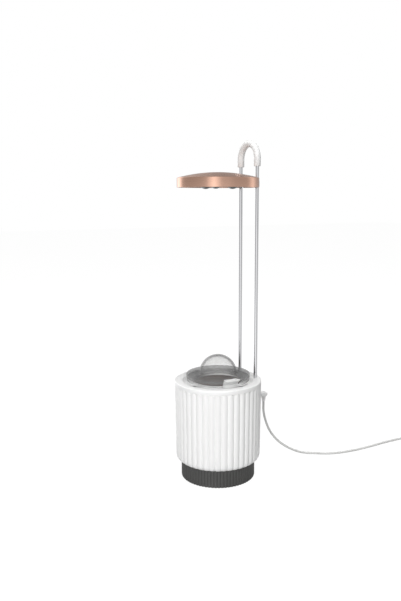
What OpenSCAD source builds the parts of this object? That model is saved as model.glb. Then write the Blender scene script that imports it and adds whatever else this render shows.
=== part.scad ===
// Countertop hydroponic garden. Millimetres, +Z up, origin on the table under the middle of the base.
// The two lamp rods stand at the back, towards +Y. Angles are counted from +X towards +Y.

/* [Base] */
// Outer radius of the fluted base
base_r = 60; // [56:0.5:66]
// Height of the base over the table
base_h = 138; // [130:1:160]
// Wall of the fluted shell
shell_wall = 2.6; // [2:0.1:3.2]
// Number of flutes around the shell
flute_count = 42; // [30:1:56]
// Depth of the grooves between flutes
flute_depth = 1.1; // [0.5:0.1:1.4]
// Height of the plain band above the flutes
band_h = 7; // [5:0.5:12]
// Radius of the shell's rounded lower edge
shell_round = 8.5; // [6:0.5:9.5]

/* [Foot] */
// How far the dark foot stands in from the base's side
foot_inset = 8.5; // [6:0.5:9.5]
// Height of the dark foot
foot_h = 25; // [18:1:30]
// Wall of the foot
foot_wall = 3.5; // [3:0.1:4]
// Number of ribs around the foot
foot_rib_count = 70; // [40:1:90]
// Depth of the grooves between the foot's ribs
foot_rib_depth = 0.5; // [0.3:0.1:0.8]
// Thickness of the rubber pads under the foot
pad_h = 1.5; // [1:0.1:2.5]
// Radius of a rubber pad
pad_r = 6; // [4:0.5:7]
// Thickness of the bottom cover
cover_t = 2.5; // [2:0.1:4]

/* [Collar and tank] */
// Width of the rim around the recess
rim_w = 11.25; // [10:0.25:12]
// Depth of the recess that holds the lid
recess_d = 5; // [4:0.5:7]
// Radius of the opening that the pot goes through
mouth_r = 38.5; // [37.5:0.25:39.5]
// Distance from the base's side to the water tank
tank_inset = 15.5; // [15:0.1:16]
// Wall of the water tank
tank_wall = 2; // [1.5:0.1:2.4]
// Thickness of the gasket on the tank
seal_t = 0.8; // [0.5:0.1:1.5]

/* [Rods and handle] */
// Diameter of a lamp rod
rod_d = 5; // [4:0.25:6]
// Distance of each rod from the middle plane
rod_x = 20.5; // [18:0.5:22]
// Distance from the base's back to the rods' plane
rod_inset = 11.4; // [11:0.1:12]
// Height of the handle's lower ends over the table
handle_z = 428.7; // [420:0.1:460]
// Diameter of the handle's tube
handle_d = 9; // [8:0.5:11]
// Length of the handle's straight legs
handle_leg = 10; // [8:0.5:20]

/* [Pot] */
// Outer radius of the pot at its rim
pot_r = 35.6; // [33:0.1:37]
// Height of the pot
pot_h = 71.6; // [60:0.2:85]
// Outer radius of the pot at its bottom
pot_low_r = 31.4; // [28:0.1:34]
// Wall of the pot
pot_wall = 1.2; // [1:0.1:2.2]
// Reach of the pot's two ears from its axis
ear_r = 41.7; // [40.5:0.1:42.5]
// Direction of the pot's first ear
ear_turn = 60; // [45:1:90]
// Direction of the watering port
port_turn = -1.5; // [-10:0.5:10]
// Half of the angle that the port's box covers
port_half = 19; // [14:1:22]
// Height of the port's box above the pot's rim
port_h = 8.3; // [6.5:0.1:9]
// Wall of the port's box
port_wall = 1.4; // [1:0.1:1.8]
// How much the port's box narrows to its top, on each side
port_taper = 3.2; // [0:0.2:4]
// Outer radius of the tube under the pot
tube_r = 6.3; // [5:0.1:8]
// Wall of the tube under the pot
tube_wall = 1.4; // [1:0.1:2]
// Height of the tube's tip over the tank's floor
tube_gap = 0.4; // [0.3:0.1:0.9]

/* [Lid] */
// Thickness of the clear ring and of the lid's plate
plate_t = 4.2; // [2:0.1:5.5]
// Outer radius of the clear ring
ring_r = 43.5; // [42:0.1:44]
// Radius of the clear ring's hole
ring_hole_r = 29; // [27.5:0.5:31]
// Outer radius of the lid's plate
lid_r = 44.1; // [43:0.1:45]
// Outer radius of the lid's dome
dome_r = 26; // [22:0.5:27]
// Wall of the lid's dome
dome_wall = 1.5; // [1.2:0.1:2.5]
// Height of the straight foot of the dome
dome_foot = 0.5; // [0.3:0.1:4]

/* [Lamp] */
// How much smaller the lamp's radius is than the base's
lamp_inset = 5.3; // [4.5:0.1:6]
// Height of the lamp's lower edge over the table
lamp_z = 400.6; // [390:0.2:405]
// Height of the lamp's rim
lamp_rim_h = 12.6; // [11:0.1:16]
// Rise of the lamp's domed top
lamp_dome_h = 8.6; // [6:0.2:14]
// Wall of the lamp's housing
lamp_wall = 1.6; // [1.2:0.1:2]
// Radius of a light lens
lens_r = 6.6; // [5:0.1:8]
// Distance of the lenses from the lamp's axis
lens_at = 21.1; // [18:0.1:24]
// Direction of the first lens
lens_turn = 82; // [70:1:94]
// How far the lenses stand below the lamp's edge
lens_drop = 2; // [1:0.1:3]
// Wall of the clips on the rods
clip_wall = 0.55; // [0.4:0.05:0.8]
// Height of the clips on the rods
clip_h = 7; // [5:0.5:9]

/* [USB lead] */
// Height of the socket over the table
usb_z = 105; // [95:1:110]
// Width of the plug's metal tip
tip_w = 8.25; // [8.25:0.05:8.35]
// Thickness of the plug's metal tip
tip_t = 2.4; // [2.35:0.05:2.45]
// Length of the plug's metal tip
tip_l = 6.65; // [6:0.05:7]
// Length of the plug's body
plug_l = 20.5; // [16:0.5:26]
// Width of the plug's body
plug_w = 10.5; // [10:0.5:13]
// Height of the plug's body
plug_t = 6.2; // [5:0.2:8]
// Diameter of the cord
cord_d = 3.3; // [3:0.1:3.8]

/* [Clearances] */
// Radial gap between a rod and what slides on it
slide_gap = 0.06; // [0.04:0.01:0.09]
// Radial gap between fixed pieces that fit together
fit_gap = 0.03; // [0.02:0.01:0.06]
// Gap around loose pieces that lift out
lift_gap = 0.3; // [0.2:0.05:0.5]
// Gap between stacked pieces
stack_gap = 0.1; // [0.05:0.05:0.2]
// Gap around the plug's tip in its socket
tip_gap = 0.08; // [0.05:0.01:0.1]

/* [Hidden] */
$fn = 96;

// Cuts reach this far past the faces that they open
over = 1;
white = "#f2f2f2";
dark = "#4a4a4a";
clear = [0.85, 0.9, 0.92, 0.4];
copper = "#b98a74";
steel = "#b8babd";

// Base
foot_r = base_r - foot_inset;
recess_r = base_r - rim_w;
tank_r = base_r - tank_inset;
rod_y = base_r - rod_inset;
lamp_r = base_r - lamp_inset;
rod_r = rod_d / 2;
shell_in_r = base_r - shell_wall;
collar_t = 2.6;
shell_top_z = base_h - collar_t;
lip_t = 3;
ledge_z = base_h - recess_d;
ledge_r = recess_r - 3.05;
ledge_t = 2.6;
collar_low_z = ledge_z - ledge_t;
scoop_turn = 25;
scoop_half = 15;
boss_seat_z = shell_top_z - lip_t;
foot_in_r = foot_r - foot_wall;
foot_low_z = 0.5;
cover_z = pad_h;
floor_z = pad_h + cover_t;
tank_top_z = collar_low_z - seal_t;
tank_in_r = tank_r - tank_wall;
tank_floor_z = floor_z + tank_wall;
screw_r = 1.2;
screw_head_r = 2.2;
screw_head_h = 1.4;
foot_boss_r = 3.8;
foot_boss_at = foot_in_r - 3.4;
pad_x = (foot_in_r - 0.99 - pad_r) / sqrt(2);
foot_screw_turns = [0, 90, 180, 270];
tank_low_r = foot_boss_at - foot_boss_r - 0.8;

// Sockets, rods and handle
rod_bore_r = rod_r + fit_gap;
socket_r = 4;
socket_h = 20;
socket_z = boss_seat_z - socket_h;
rod_bottom_z = socket_z + 2;
rod_in_handle = 8;
rod_top_z = handle_z + rod_in_handle;
arch_z = handle_z + handle_leg;

// Control board and USB socket
board_y = tank_r + 5;
board_t = 1.6;
board_w = 2 * (rod_x - socket_r - 1.5);
board_h = 34;
board_z = usb_z - board_h / 2;
board_screw_x = board_w / 2 - 4;
board_screw_z = board_z + 6;
board_screw_r = 1;
board_boss_r = 2.6;
usb_back_y = board_y + board_t;
usb_mouth_y = base_r - 0.8;
usb_shell_t = 0.35;
usb_shell_w = tip_w + 2 * (tip_gap + usb_shell_t);
usb_shell_h = tip_t + 2 * (tip_gap + usb_shell_t);
usb_pad_w = 16;
usb_pad_h = 10;
usb_bore_y = usb_back_y + 1.2;
usb_corner_r = 1.15;
plug_y = base_r + 0.3;
tip_y = plug_y - 0.3 - tip_l;
relief_y = plug_y + plug_l - 4.2;
relief_h = 8;
relief_r = 3.4;
relief_low_r = 2.1;
wire_r = 0.7;

// Pot, medium, ring and lid
pot_z = base_h - pot_h;
pot_floor_t = 2;
pot_slope = (pot_r - pot_low_r) / pot_h;
pot_slot_w = 1.6;
pot_slot_h = 32.5;
pot_slot_turn = -51;
ear_half = 22;
tube_low_z = tank_floor_z + tube_gap;
tube_point_h = 3.4;
tube_point_r = 2.5;
tube_flange_r = 9;
tube_flange_t = 1.5;
tube_flange_z = pot_z + pot_floor_t;
medium_top_z = base_h - 3;
medium_low_z = tube_flange_z + tube_flange_t + lift_gap;
ring_z = base_h + stack_gap;
lid_z = ring_z + plate_t + stack_gap;
dome_z = lid_z + plate_t + dome_foot;
notch_r = pot_r - pot_wall - lift_gap;
port_r = ring_r;
port_low_z = base_h - 1.2;
port_floor_z = port_low_z + port_wall;
port_top_z = base_h + port_h;
port_foot_w = port_r * sin(port_half) + 0.2;
notch_half = port_half + 1;

// Lamp
lamp_top_z = lamp_z + lamp_rim_h;
lamp_in_r = lamp_r - lamp_wall;
lamp_plate_z = lamp_z + 1.1;
lamp_plate_t = 1.6;
lamp_plate_top = lamp_plate_z + lamp_plate_t;
lens_flange_t = 0.8;
lens_low_z = lamp_z - lens_drop;
lens_cap_h = 2.4;
led_z = lamp_plate_top + lens_flange_t + 0.2;
led_t = 0.8;
led_w = 3.5;
led_board_z = led_z + led_t;
led_board_r = 30;
spreader_z = led_board_z + board_t;
spreader_r = 34;
spreader_t = 2;
lamp_screw_r = 1.25;
lamp_hole_r = 1.4;
lamp_head_r = 2.4;
lamp_boss_r = 3;
spreader_boss_at = 26;
plate_boss_at = lamp_r - 10.7;
spreader_screw_l = 8;
plate_screw_l = 9;
clip_r = rod_r + slide_gap + clip_wall;
lamp_notch_r = clip_r + 0.25;
notch_wall = 1.2;
spring_t = 0.8;
spring_w = 5;
spring_h = 5;
spring_y = rod_y - clip_r - lift_gap - spring_t;
lens_turns = [lens_turn, lens_turn + 120, lens_turn + 240];
spreader_turns = [lens_turn + 60, lens_turn + 180, lens_turn + 300];
plate_turns = [30, 150, 270];

// Cord
cord_r = cord_d / 2;
cord_sides = 8;
coil_x = 62;
coil_y = 346.3;
coil_at_r = 19.3;
coil_half_w = 5.5;
coil_z = 0.7;
coil_h = 2 * cord_d;
tie_w = 4;
tie_gap = 0.35;
tail_y = 369;
charger_x = 92;
charger_l = 24;
charger_w = 12.5;
charger_h = 7;
charger_relief_l = 6;
charger_tip_l = 12;
charger_tip_t = 4.5;
charger_tip_w = 12;

// The cord's route from the strain relief to its coil
CORD_ROUTE = [
    [0, 76.6, 93.9], [0, 76.6, 88], [0, 76.6, 82.5], [0.5, 77.5, 74], [1, 80, 64.5], [1.5, 83.5, 55],
    [2, 88.5, 45.5],
    [3, 94.5, 37], [3.5, 102, 29], [4.5, 110.5, 22], [5, 120, 15.5], [6, 130, 10], [7, 141, 5.2],
    [9, 152, 2.3], [13.5, 161.5, 1.65], [20, 170, 1.65], [25.5, 179, 1.65], [29.5, 189, 1.65],
    [32.5, 200, 1.65], [34.5, 212, 1.65], [35.8, 225, 1.65], [36.3, 238, 1.65], [36.3, 252, 1.65],
    [35.8, 266, 1.65], [35.2, 280, 1.65], [35, 293, 1.65], [35.2, 306, 1.65], [36.2, 318, 1.9],
    [38.2, 330, 2.2], [39.3, 338.5, 2.35]
];
// The cord's end, from its coil to the charger plug
TAIL_ROUTE = [[65, 369, 5.6], [71, 369, 5], [75, 369, 4.1], [78.5, 369, 3.5], [82, 369, 3.5],
    [86, 369, 3.5]];
// The wire from the board to a rod socket, on the right
WIRE_ROUTE = [
    [8.5, board_y, board_z + 25], [8.5, board_y - 1.2, board_z + 25], [9, board_y - 2.2, board_z + 24.4],
    [11.5, board_y - 3.1, (board_z + 24 + socket_z - 3.6) / 2], [rod_x - 4, rod_y - 2, socket_z - 3.8],
    [rod_x - 0.6, rod_y - 0.5, socket_z - 3.4], [rod_x, rod_y, socket_z - 2], [rod_x, rod_y, socket_z]
];
// The wire from a contact spring to the light board, on the right
LAMP_WIRE_ROUTE = [
    [rod_x, spring_y, lamp_plate_top + 3], [rod_x, spring_y - 1.2, lamp_plate_top + 3],
    [rod_x - 0.7, spring_y - 3, lamp_plate_top + 1.6], [rod_x - 3, spring_y - 8, lamp_plate_top + 0.8],
    [rod_x - 5.5, spring_y - 13.5, lamp_plate_top + 0.8], [13.6, 27.5, lamp_plate_top + 0.8],
    [13.6, 25.5, led_board_z - 0.9], [13.6, 25.5, led_board_z]
];

// --- Shapes that repeat ---

// A ring outline with convex flutes: the radius falls by depth in the groove between two flutes.
function fluted(r, depth, count, steps) = [
    for (i = [0:count * steps - 1])
        let (t = (i % steps) / steps)
        let (a = 360 * i / (count * steps))
        (r - depth * pow(2 * t - 1, 2)) * [cos(a), sin(a)]
];

// A rectangle with round corners, centred on the origin.
function rounded_box(w, h, r, steps = 5) = [
    for (c = [[1, 1, 0], [-1, 1, 90], [-1, -1, 180], [1, -1, 270]])
        for (i = [0:steps])
            [c[0] * (w / 2 - r) + r * cos(c[2] + 90 * i / steps),
             c[1] * (h / 2 - r) + r * sin(c[2] + 90 * i / steps)]
];

function unit(v) = v / norm(v);

// A point on the smooth curve through four points, for t from 0 to 1 between the middle two.
function smooth(a, b, c, d, t) =
    0.5 * (2 * b + (c - a) * t + (2 * a - 5 * b + 4 * c - d) * t * t + (3 * b - a - 3 * c + d) * pow(t, 3));

// A route with one more point between each two.
function doubled(route) = [
    for (i = [0:len(route) - 2])
        for (t = [0, 0.5])
            smooth(route[max(i - 1, 0)], route[i], route[i + 1], route[min(i + 2, len(route) - 1)], t),
    route[len(route) - 1]
];

function along(route, i) = unit(route[min(i + 1, len(route) - 1)] - route[max(i - 1, 0)]);

// A tube swept along a route. The side vector is never along the route.
module tube_along(route, r, side) {
    points = [
        for (i = [0:len(route) - 1])
            let (n = unit(cross(along(route, i), side)))
            let (b = cross(n, along(route, i)))
            for (k = [0:cord_sides - 1])
                route[i] + r * (cos(360 * k / cord_sides) * n + sin(360 * k / cord_sides) * b)
    ];
    last = (len(route) - 1) * cord_sides;
    sides = [
        for (i = [0:len(route) - 2])
            for (k = [0:cord_sides - 1])
                let (a = i * cord_sides + k)
                let (b = i * cord_sides + (k + 1) % cord_sides)
                for (f = [[a, a + cord_sides, b], [b, a + cord_sides, b + cord_sides]])
                    f
    ];
    start = [for (k = [0:cord_sides - 1]) k];
    end = [for (k = [cord_sides - 1:-1:0]) last + k];
    polyhedron(points, concat(sides, [start, end]));
}

// A plain ring.
module ring(r, hole_r, z, h) {
    translate([0, 0, z])
        difference() {
            cylinder(r = r, h = h);
            translate([0, 0, -over])
                cylinder(r = hole_r, h = h + 2 * over);
        }
}

// A part of a ring, centred on one direction.
module sector(r, hole_r, z, h, turn, half) {
    translate([0, 0, z])
        rotate([0, 0, turn - half])
            rotate_extrude(angle = 2 * half)
                translate([hole_r, 0])
                    square([r - hole_r, h]);
}

// Copies of its children at one radius and several directions.
module around(turns, at) {
    for (turn = turns)
        rotate([0, 0, turn])
            translate([at, 0, 0])
                children();
}

// Its children at the right rod and mirrored at the left one.
module at_rods() {
    for (side = [-1, 1])
        translate([side * rod_x, rod_y, 0])
            children();
}

// A screw with its head down: the head ends and the shank starts at z.
module screw_up(z, l, r, head_r, head_h) {
    translate([0, 0, z - head_h])
        cylinder(r = head_r, h = head_h);
    translate([0, 0, z])
        cylinder(r = r, h = l);
}

// A prism that runs along +Y, from y, with its outline centred on x = 0 and z.
module prism_y(outline, y, l, z) {
    translate([0, y + l, z])
        rotate([90, 0, 0])
            linear_extrude(l)
                polygon(outline);
}

// --- Base ---

module outer_shell() {
    color(white)
        difference() {
            union() {
                intersection() {
                    translate([0, 0, foot_h])
                        linear_extrude(base_h - band_h - foot_h)
                            polygon(fluted(base_r - 0.1, flute_depth, flute_count, 6));
                    rotate_extrude()
                        polygon(concat([[0, foot_h]], shell_edge(shell_round, 0),
                            [[base_r + over, foot_h + shell_round + over], [base_r + over, base_h], [0, base_h]]));
                }
                translate([0, 0, base_h - band_h])
                    cylinder(r = base_r, h = band_h - collar_t);
                prism_y(rounded_box(usb_pad_w, usb_pad_h, 2), shell_in_r - 3, base_r - shell_in_r + 3, usb_z);
            }
            difference() {
                rotate_extrude()
                    polygon(concat([[0, foot_h + lip_t], [base_r - shell_round, foot_h + lip_t]],
                        shell_edge(shell_round - shell_wall, 2), [[shell_in_r, base_h], [0, base_h]]));
                shell_board_bosses();
                prism_y(rounded_box(usb_pad_w, usb_pad_h, 2), shell_in_r - 3, base_r - shell_in_r + 3, usb_z);
            }
            translate([0, 0, foot_h - over])
                cylinder(r = tank_low_r + 1, h = lip_t + 2 * over);
            around(foot_screw_turns, foot_boss_at)
                translate([0, 0, foot_h - over])
                    cylinder(r = screw_r + fit_gap, h = lip_t + over - 0.4);
            around_board_screws(usb_back_y - over, 6, board_screw_r + fit_gap);
            prism_y(rounded_box(usb_shell_w + 0.5, usb_shell_h + 0.5, 1.8), usb_back_y, base_r, usb_z);
        }
}

// The rounded lower edge of the shell in the XZ plane, from its first step to the wall.
function shell_edge(r, first) = [
    for (i = [first:6])
        [base_r - shell_round + r * sin(15 * i), foot_h + shell_round - r * cos(15 * i)]
];

module shell_board_bosses() {
    around_board_screws(usb_back_y, base_r - usb_back_y, board_boss_r);
}

// Cylinders along +Y at the board's two screws.
module around_board_screws(y, l, r) {
    for (side = [-1, 1])
        translate([side * board_screw_x, y, board_screw_z])
            rotate([-90, 0, 0])
                cylinder(r = r, h = l);
}

module top_collar() {
    color(white)
        difference() {
            rotate_extrude()
                polygon([[mouth_r, collar_low_z], [mouth_r, ledge_z], [ledge_r, ledge_z], [recess_r, base_h],
                    [base_r - 0.8, base_h], [base_r, base_h - 0.8], [base_r, shell_top_z],
                    [shell_in_r - 0.2, shell_top_z], [shell_in_r - 0.2, boss_seat_z],
                    [tank_r + 3, boss_seat_z], [tank_r + 1.5, collar_low_z]]);
            at_rods()
                translate([0, 0, boss_seat_z - over])
                    cylinder(r = rod_bore_r, h = base_h);
            sector(tank_in_r, mouth_r - over, collar_low_z - over, ledge_t + 2 * over, port_turn, port_half);
            for (turn = [scoop_turn, scoop_turn + 180])
                sector(recess_r - 0.15, ledge_r - over, ledge_z, recess_d + over, turn, scoop_half);
        }
}

module reservoir() {
    color(white)
        rotate_extrude()
            polygon([[0, floor_z], [tank_low_r, floor_z], [tank_low_r, foot_h + lip_t],
                [tank_r, foot_h + lip_t], [tank_r, tank_top_z], [tank_in_r, tank_top_z],
                [tank_in_r, foot_h + lip_t + tank_wall], [tank_low_r - tank_wall, foot_h + lip_t + tank_wall],
                [tank_low_r - tank_wall, tank_floor_z], [0, tank_floor_z]]);
}

module tank_seal() {
    color(dark)
        ring(tank_r, tank_in_r, tank_top_z, seal_t);
}

module foot_ring() {
    color(dark)
        difference() {
            union() {
                difference() {
                    translate([0, 0, foot_low_z])
                        linear_extrude(foot_h - foot_low_z)
                            polygon(fluted(foot_r, foot_rib_depth, foot_rib_count, 4));
                    translate([0, 0, -over])
                        cylinder(r = foot_in_r, h = foot_h + 2 * over);
                }
                around(foot_screw_turns, foot_boss_at)
                    translate([0, 0, floor_z])
                        cylinder(r = foot_boss_r, h = foot_h - floor_z);
            }
            around(foot_screw_turns, foot_boss_at)
                translate([0, 0, floor_z - over])
                    cylinder(r = screw_r + 0.1, h = foot_h);
        }
}

module bottom_cover() {
    color(dark)
        difference() {
            translate([0, 0, cover_z])
                cylinder(r = foot_in_r - 0.2, h = cover_t);
            around(foot_screw_turns, foot_boss_at) {
                translate([0, 0, cover_z - over])
                    cylinder(r = screw_head_r + 0.2, h = over + 1.5);
                translate([0, 0, cover_z])
                    cylinder(r = screw_r + 0.1, h = cover_t + over);
            }
        }
}

module foot_pads() {
    color("#303030")
        for (x = [-pad_x, pad_x])
            for (y = [-pad_x, pad_x])
                translate([x, y, 0])
                    cylinder(r = pad_r, h = pad_h);
}

module cover_screws() {
    color(steel)
        around(foot_screw_turns, foot_boss_at)
            screw_up(cover_z + 1.5, foot_h + lip_t - cover_z - 2, screw_r, screw_head_r, screw_head_h);
}

// --- Electronics in the base ---

module control_board() {
    color("#2f6b3c")
        difference() {
            translate([-board_w / 2, board_y, board_z])
                cube([board_w, board_t, board_h]);
            around_board_screws(board_y - over, board_t + 2 * over, board_screw_r + 0.1);
        }
}

module board_parts() {
    color("#26282b") {
        translate([-6.5, board_y - 3, board_z + 14])
            cube([6.5, 3, 8]);
        translate([1.5, board_y - 1.2, board_z + 15])
            cube([4.5, 1.2, 6]);
        translate([0, board_y, board_z + 28])
            rotate([90, 0, 0])
                cylinder(r = 3.4, h = 4.5);
    }
}

module board_screws() {
    color(steel)
        for (side = [-1, 1])
            translate([side * board_screw_x, board_y, board_screw_z])
                rotate([-90, 0, 0])
                    screw_up(0, board_t + 4.5, board_screw_r, 2.2, 1.2);
}

module usb_socket() {
    color(steel) {
        difference() {
            prism_y(rounded_box(usb_shell_w, usb_shell_h, usb_corner_r + tip_gap + usb_shell_t),
                usb_back_y, usb_mouth_y - usb_back_y, usb_z);
            prism_y(rounded_box(tip_w + 2 * tip_gap, tip_t + 2 * tip_gap, usb_corner_r + tip_gap),
                usb_bore_y, base_r, usb_z);
        }
        translate([-3.3, usb_bore_y - 0.2, usb_z - 0.35])
            cube([6.6, 4.6, 0.7]);
    }
}

module rod_socket() {
    color("#c9a35a")
        difference() {
            translate([rod_x, rod_y, socket_z])
                cylinder(r = socket_r, h = socket_h);
            translate([rod_x, rod_y, rod_bottom_z])
                cylinder(r = rod_bore_r, h = socket_h);
        }
}

module rod_socket_right() {
    rod_socket();
}

module rod_socket_left() {
    mirror([1, 0, 0])
        rod_socket();
}

module rod() {
    color(steel)
        translate([rod_x, rod_y, rod_bottom_z])
            cylinder(r = rod_r, h = rod_top_z - rod_bottom_z);
}

module rod_right() {
    rod();
}

module rod_left() {
    mirror([1, 0, 0])
        rod();
}

module wire_plus() {
    color("#b23b32")
        tube_along(WIRE_ROUTE, wire_r, [1, 1, 1]);
}

module wire_minus() {
    color("#2b2b2b")
        mirror([1, 0, 0])
            tube_along(WIRE_ROUTE, wire_r, [1, 1, 1]);
}

module top_handle() {
    color(white)
        difference() {
            union() {
                at_rods()
                    translate([0, 0, handle_z])
                        cylinder(d = handle_d, h = handle_leg);
                translate([0, rod_y, arch_z])
                    rotate([90, 0, 0])
                        rotate_extrude(angle = 180)
                            translate([rod_x, 0])
                                circle(d = handle_d);
            }
            at_rods()
                translate([0, 0, handle_z - over])
                    cylinder(r = rod_bore_r, h = rod_in_handle + over);
        }
}

// --- Pot, medium, ring and lid ---

// The port's outline between two radii and two heights, with its sides moved in.
module port_form(r, hole_r, z, h, inset) {
    intersection() {
        sector(r, hole_r, z, h, port_turn, port_half - inset * 1.5);
        rotate([0, 0, port_turn])
            translate([hole_r - 5, 0, 0])
                rotate([90, 0, 90])
                    linear_extrude(r - hole_r + 10)
                        polygon([[inset - port_foot_w, port_low_z - over], [port_foot_w - inset, port_low_z - over],
                            [port_foot_w - inset, port_low_z],
                            [port_foot_w - port_taper - inset, port_top_z],
                            [port_foot_w - port_taper - inset, port_top_z + over],
                            [port_taper + inset - port_foot_w, port_top_z + over],
                            [port_taper + inset - port_foot_w, port_top_z],
                            [inset - port_foot_w, port_low_z]]);
    }
}

// The watering port: a box on the pot's rim, open at its top and through its floor.
module port_box() {
    difference() {
        port_form(port_r, pot_r - pot_wall + 0.1, port_low_z, port_top_z - port_low_z, 0);
        port_form(port_r - port_wall, pot_r - 0.1, port_floor_z, port_h + over, port_wall);
        sector(port_r - port_wall - 0.8, pot_r + port_wall, port_low_z - over, port_wall + 2 * over, port_turn,
            port_half - 5);
    }
}

module grow_pot() {
    color(white)
        difference() {
            union() {
                rotate_extrude()
                    polygon([[tube_r + fit_gap, pot_z], [pot_low_r, pot_z], [pot_r, base_h],
                        [pot_r - pot_wall, base_h], [pot_low_r - pot_wall, pot_z + pot_floor_t],
                        [tube_r + fit_gap, pot_z + pot_floor_t]]);
                port_box();
                for (turn = [ear_turn, ear_turn + 180])
                    sector(ear_r, pot_r - pot_wall / 2, ledge_z, recess_d, turn, ear_half);
            }
            for (i = [0:3])
                rotate([0, 0, pot_slot_turn + 90 * i])
                    translate([pot_low_r - 5, -pot_slot_w / 2, pot_z - over])
                        cube([10, pot_slot_w, pot_slot_h + over]);
        }
}

module wick_tube() {
    color(white)
        rotate_extrude()
            polygon([[tube_point_r, tube_low_z], [tube_r, tube_low_z + tube_point_h], [tube_r, tube_flange_z],
                [tube_flange_r, tube_flange_z], [tube_flange_r, tube_flange_z + tube_flange_t],
                [tube_r - tube_wall, tube_flange_z + tube_flange_t],
                [tube_r - tube_wall, tube_low_z + tube_point_h], [tube_point_r - 1, tube_low_z]]);
}

module wick() {
    color("#d9d2c0")
        translate([0, 0, tube_low_z + tube_point_h])
            cylinder(r = tube_r - tube_wall - 0.15, h = medium_low_z - lift_gap - tube_low_z - tube_point_h);
}

module growing_medium() {
    color("#4a3a34")
        translate([0, 0, medium_low_z])
            cylinder(r1 = pot_r - (base_h - medium_low_z) * pot_slope - pot_wall - lift_gap,
                r2 = pot_r - (base_h - medium_top_z) * pot_slope - pot_wall - lift_gap,
                h = medium_top_z - medium_low_z);
}

module port_notch(z) {
    sector(lid_r + over, notch_r, z - over, plate_t + 2 * over, port_turn, notch_half);
}

module lid_ring() {
    color(clear)
        difference() {
            ring(ring_r, ring_hole_r, ring_z, plate_t);
            port_notch(ring_z);
        }
}

module clear_lid() {
    color(clear)
        difference() {
            rotate_extrude()
                polygon(concat(
                    [[dome_r - dome_wall, lid_z], [lid_r, lid_z], [lid_r, lid_z + plate_t],
                     [dome_r, lid_z + plate_t]],
                    [for (i = [0:14]) [dome_r * cos(90 * i / 14), dome_z + dome_r * sin(90 * i / 14)]],
                    [for (i = [14:-1:0]) [(dome_r - dome_wall) * cos(90 * i / 14),
                        dome_z + (dome_r - dome_wall) * sin(90 * i / 14)]]));
            port_notch(lid_z);
        }
}

// --- Lamp ---

module rod_clips() {
    color(steel)
        at_rods()
            ring(clip_r, rod_r + slide_gap, lamp_z + 1.5, clip_h);
}

// Height of the housing's domed outside at radius r.
function lamp_dome(r) = lamp_top_z + lamp_dome_h * (1 - pow(r / lamp_r, 2));

// Room for the rods and their clips, open towards the back, and wider by some wall.
module rod_notches(wall) {
    at_rods() {
        translate([0, 0, lamp_z - over])
            cylinder(r = lamp_notch_r + wall, h = lamp_rim_h + lamp_dome_h + 2 * over);
        translate([-lamp_notch_r - wall, 0, lamp_z - over])
            cube([2 * (lamp_notch_r + wall), lamp_r, lamp_rim_h + lamp_dome_h + 2 * over]);
    }
}

// The lamp's outer shape, from z up, sunk under its surface by some depth.
module lamp_body(z, depth) {
    steps = 10;
    rotate_extrude()
        polygon(concat([[0, z], [lamp_r - depth, z]],
            [for (i = [0:steps]) let (r = (lamp_r - depth) * (1 - i / steps)) [r, lamp_dome(r) - depth]]));
}

// Room for a contact spring in the inner wall of each rod notch.
module spring_windows() {
    at_rods()
        translate([-spring_w / 2 - fit_gap, -lamp_notch_r - notch_wall - over, lamp_plate_top])
            cube([spring_w + 2 * fit_gap, notch_wall + lamp_notch_r, spring_h + fit_gap]);
}

module lamp_housing() {
    color(copper)
        difference() {
            union() {
                difference() {
                    lamp_body(lamp_z, 0);
                    lamp_body(lamp_z - over, lamp_wall);
                }
                intersection() {
                    lamp_body(lamp_plate_top, 0.4);
                    union() {
                        rod_notches(notch_wall);
                        around(plate_turns, plate_boss_at)
                            cylinder(r = lamp_boss_r, h = lamp_z * 2);
                    }
                }
                intersection() {
                    lamp_body(spreader_z + spreader_t, 0.4);
                    around(spreader_turns, spreader_boss_at)
                        cylinder(r = lamp_boss_r, h = lamp_z * 2);
                }
            }
            rod_notches(0);
            spring_windows();
            around(spreader_turns, spreader_boss_at)
                translate([0, 0, spreader_z])
                    cylinder(r = lamp_screw_r + fit_gap, h = led_board_z + spreader_screw_l - spreader_z + 0.6);
            around(plate_turns, plate_boss_at)
                translate([0, 0, lamp_plate_z])
                    cylinder(r = lamp_screw_r + fit_gap, h = plate_screw_l + 0.2);
        }
}

module lamp_plate() {
    color(dark)
        difference() {
            translate([0, 0, lamp_plate_z])
                cylinder(r = lamp_in_r - 0.2, h = lamp_plate_t);
            rod_notches(0);
            around(lens_turns, lens_at)
                translate([0, 0, lamp_z])
                    cylinder(r = lens_r + 0.2, h = lamp_rim_h);
            around(plate_turns, plate_boss_at)
                translate([0, 0, lamp_z])
                    cylinder(r = lamp_hole_r, h = lamp_rim_h);
        }
}

module led_board() {
    color("#dfe3e4")
        difference() {
            translate([0, 0, led_board_z])
                cylinder(r = led_board_r, h = board_t);
            around(spreader_turns, spreader_boss_at)
                translate([0, 0, lamp_z])
                    cylinder(r = lamp_hole_r, h = lamp_rim_h);
        }
}

module led_chips() {
    color("#e8d36a")
        around(lens_turns, lens_at)
            translate([-led_w / 2, -led_w / 2, led_z])
                cube([led_w, led_w, led_t]);
}

// Height of the lens's domed underside at radius r.
function lens_low(r) = lens_low_z + lens_cap_h * pow(r / lens_r, 2);

module led_lenses() {
    color("#5a5d60")
        around(lens_turns, lens_at)
            rotate_extrude()
                polygon(concat(
                    [for (i = [0:6]) let (r = lens_r * i / 6) [r, lens_low(r)]],
                    [[lens_r, lamp_plate_top], [lens_r + 1.4, lamp_plate_top],
                     [lens_r + 1.4, lamp_plate_top + lens_flange_t], [0, lamp_plate_top + lens_flange_t]]));
}

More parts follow.
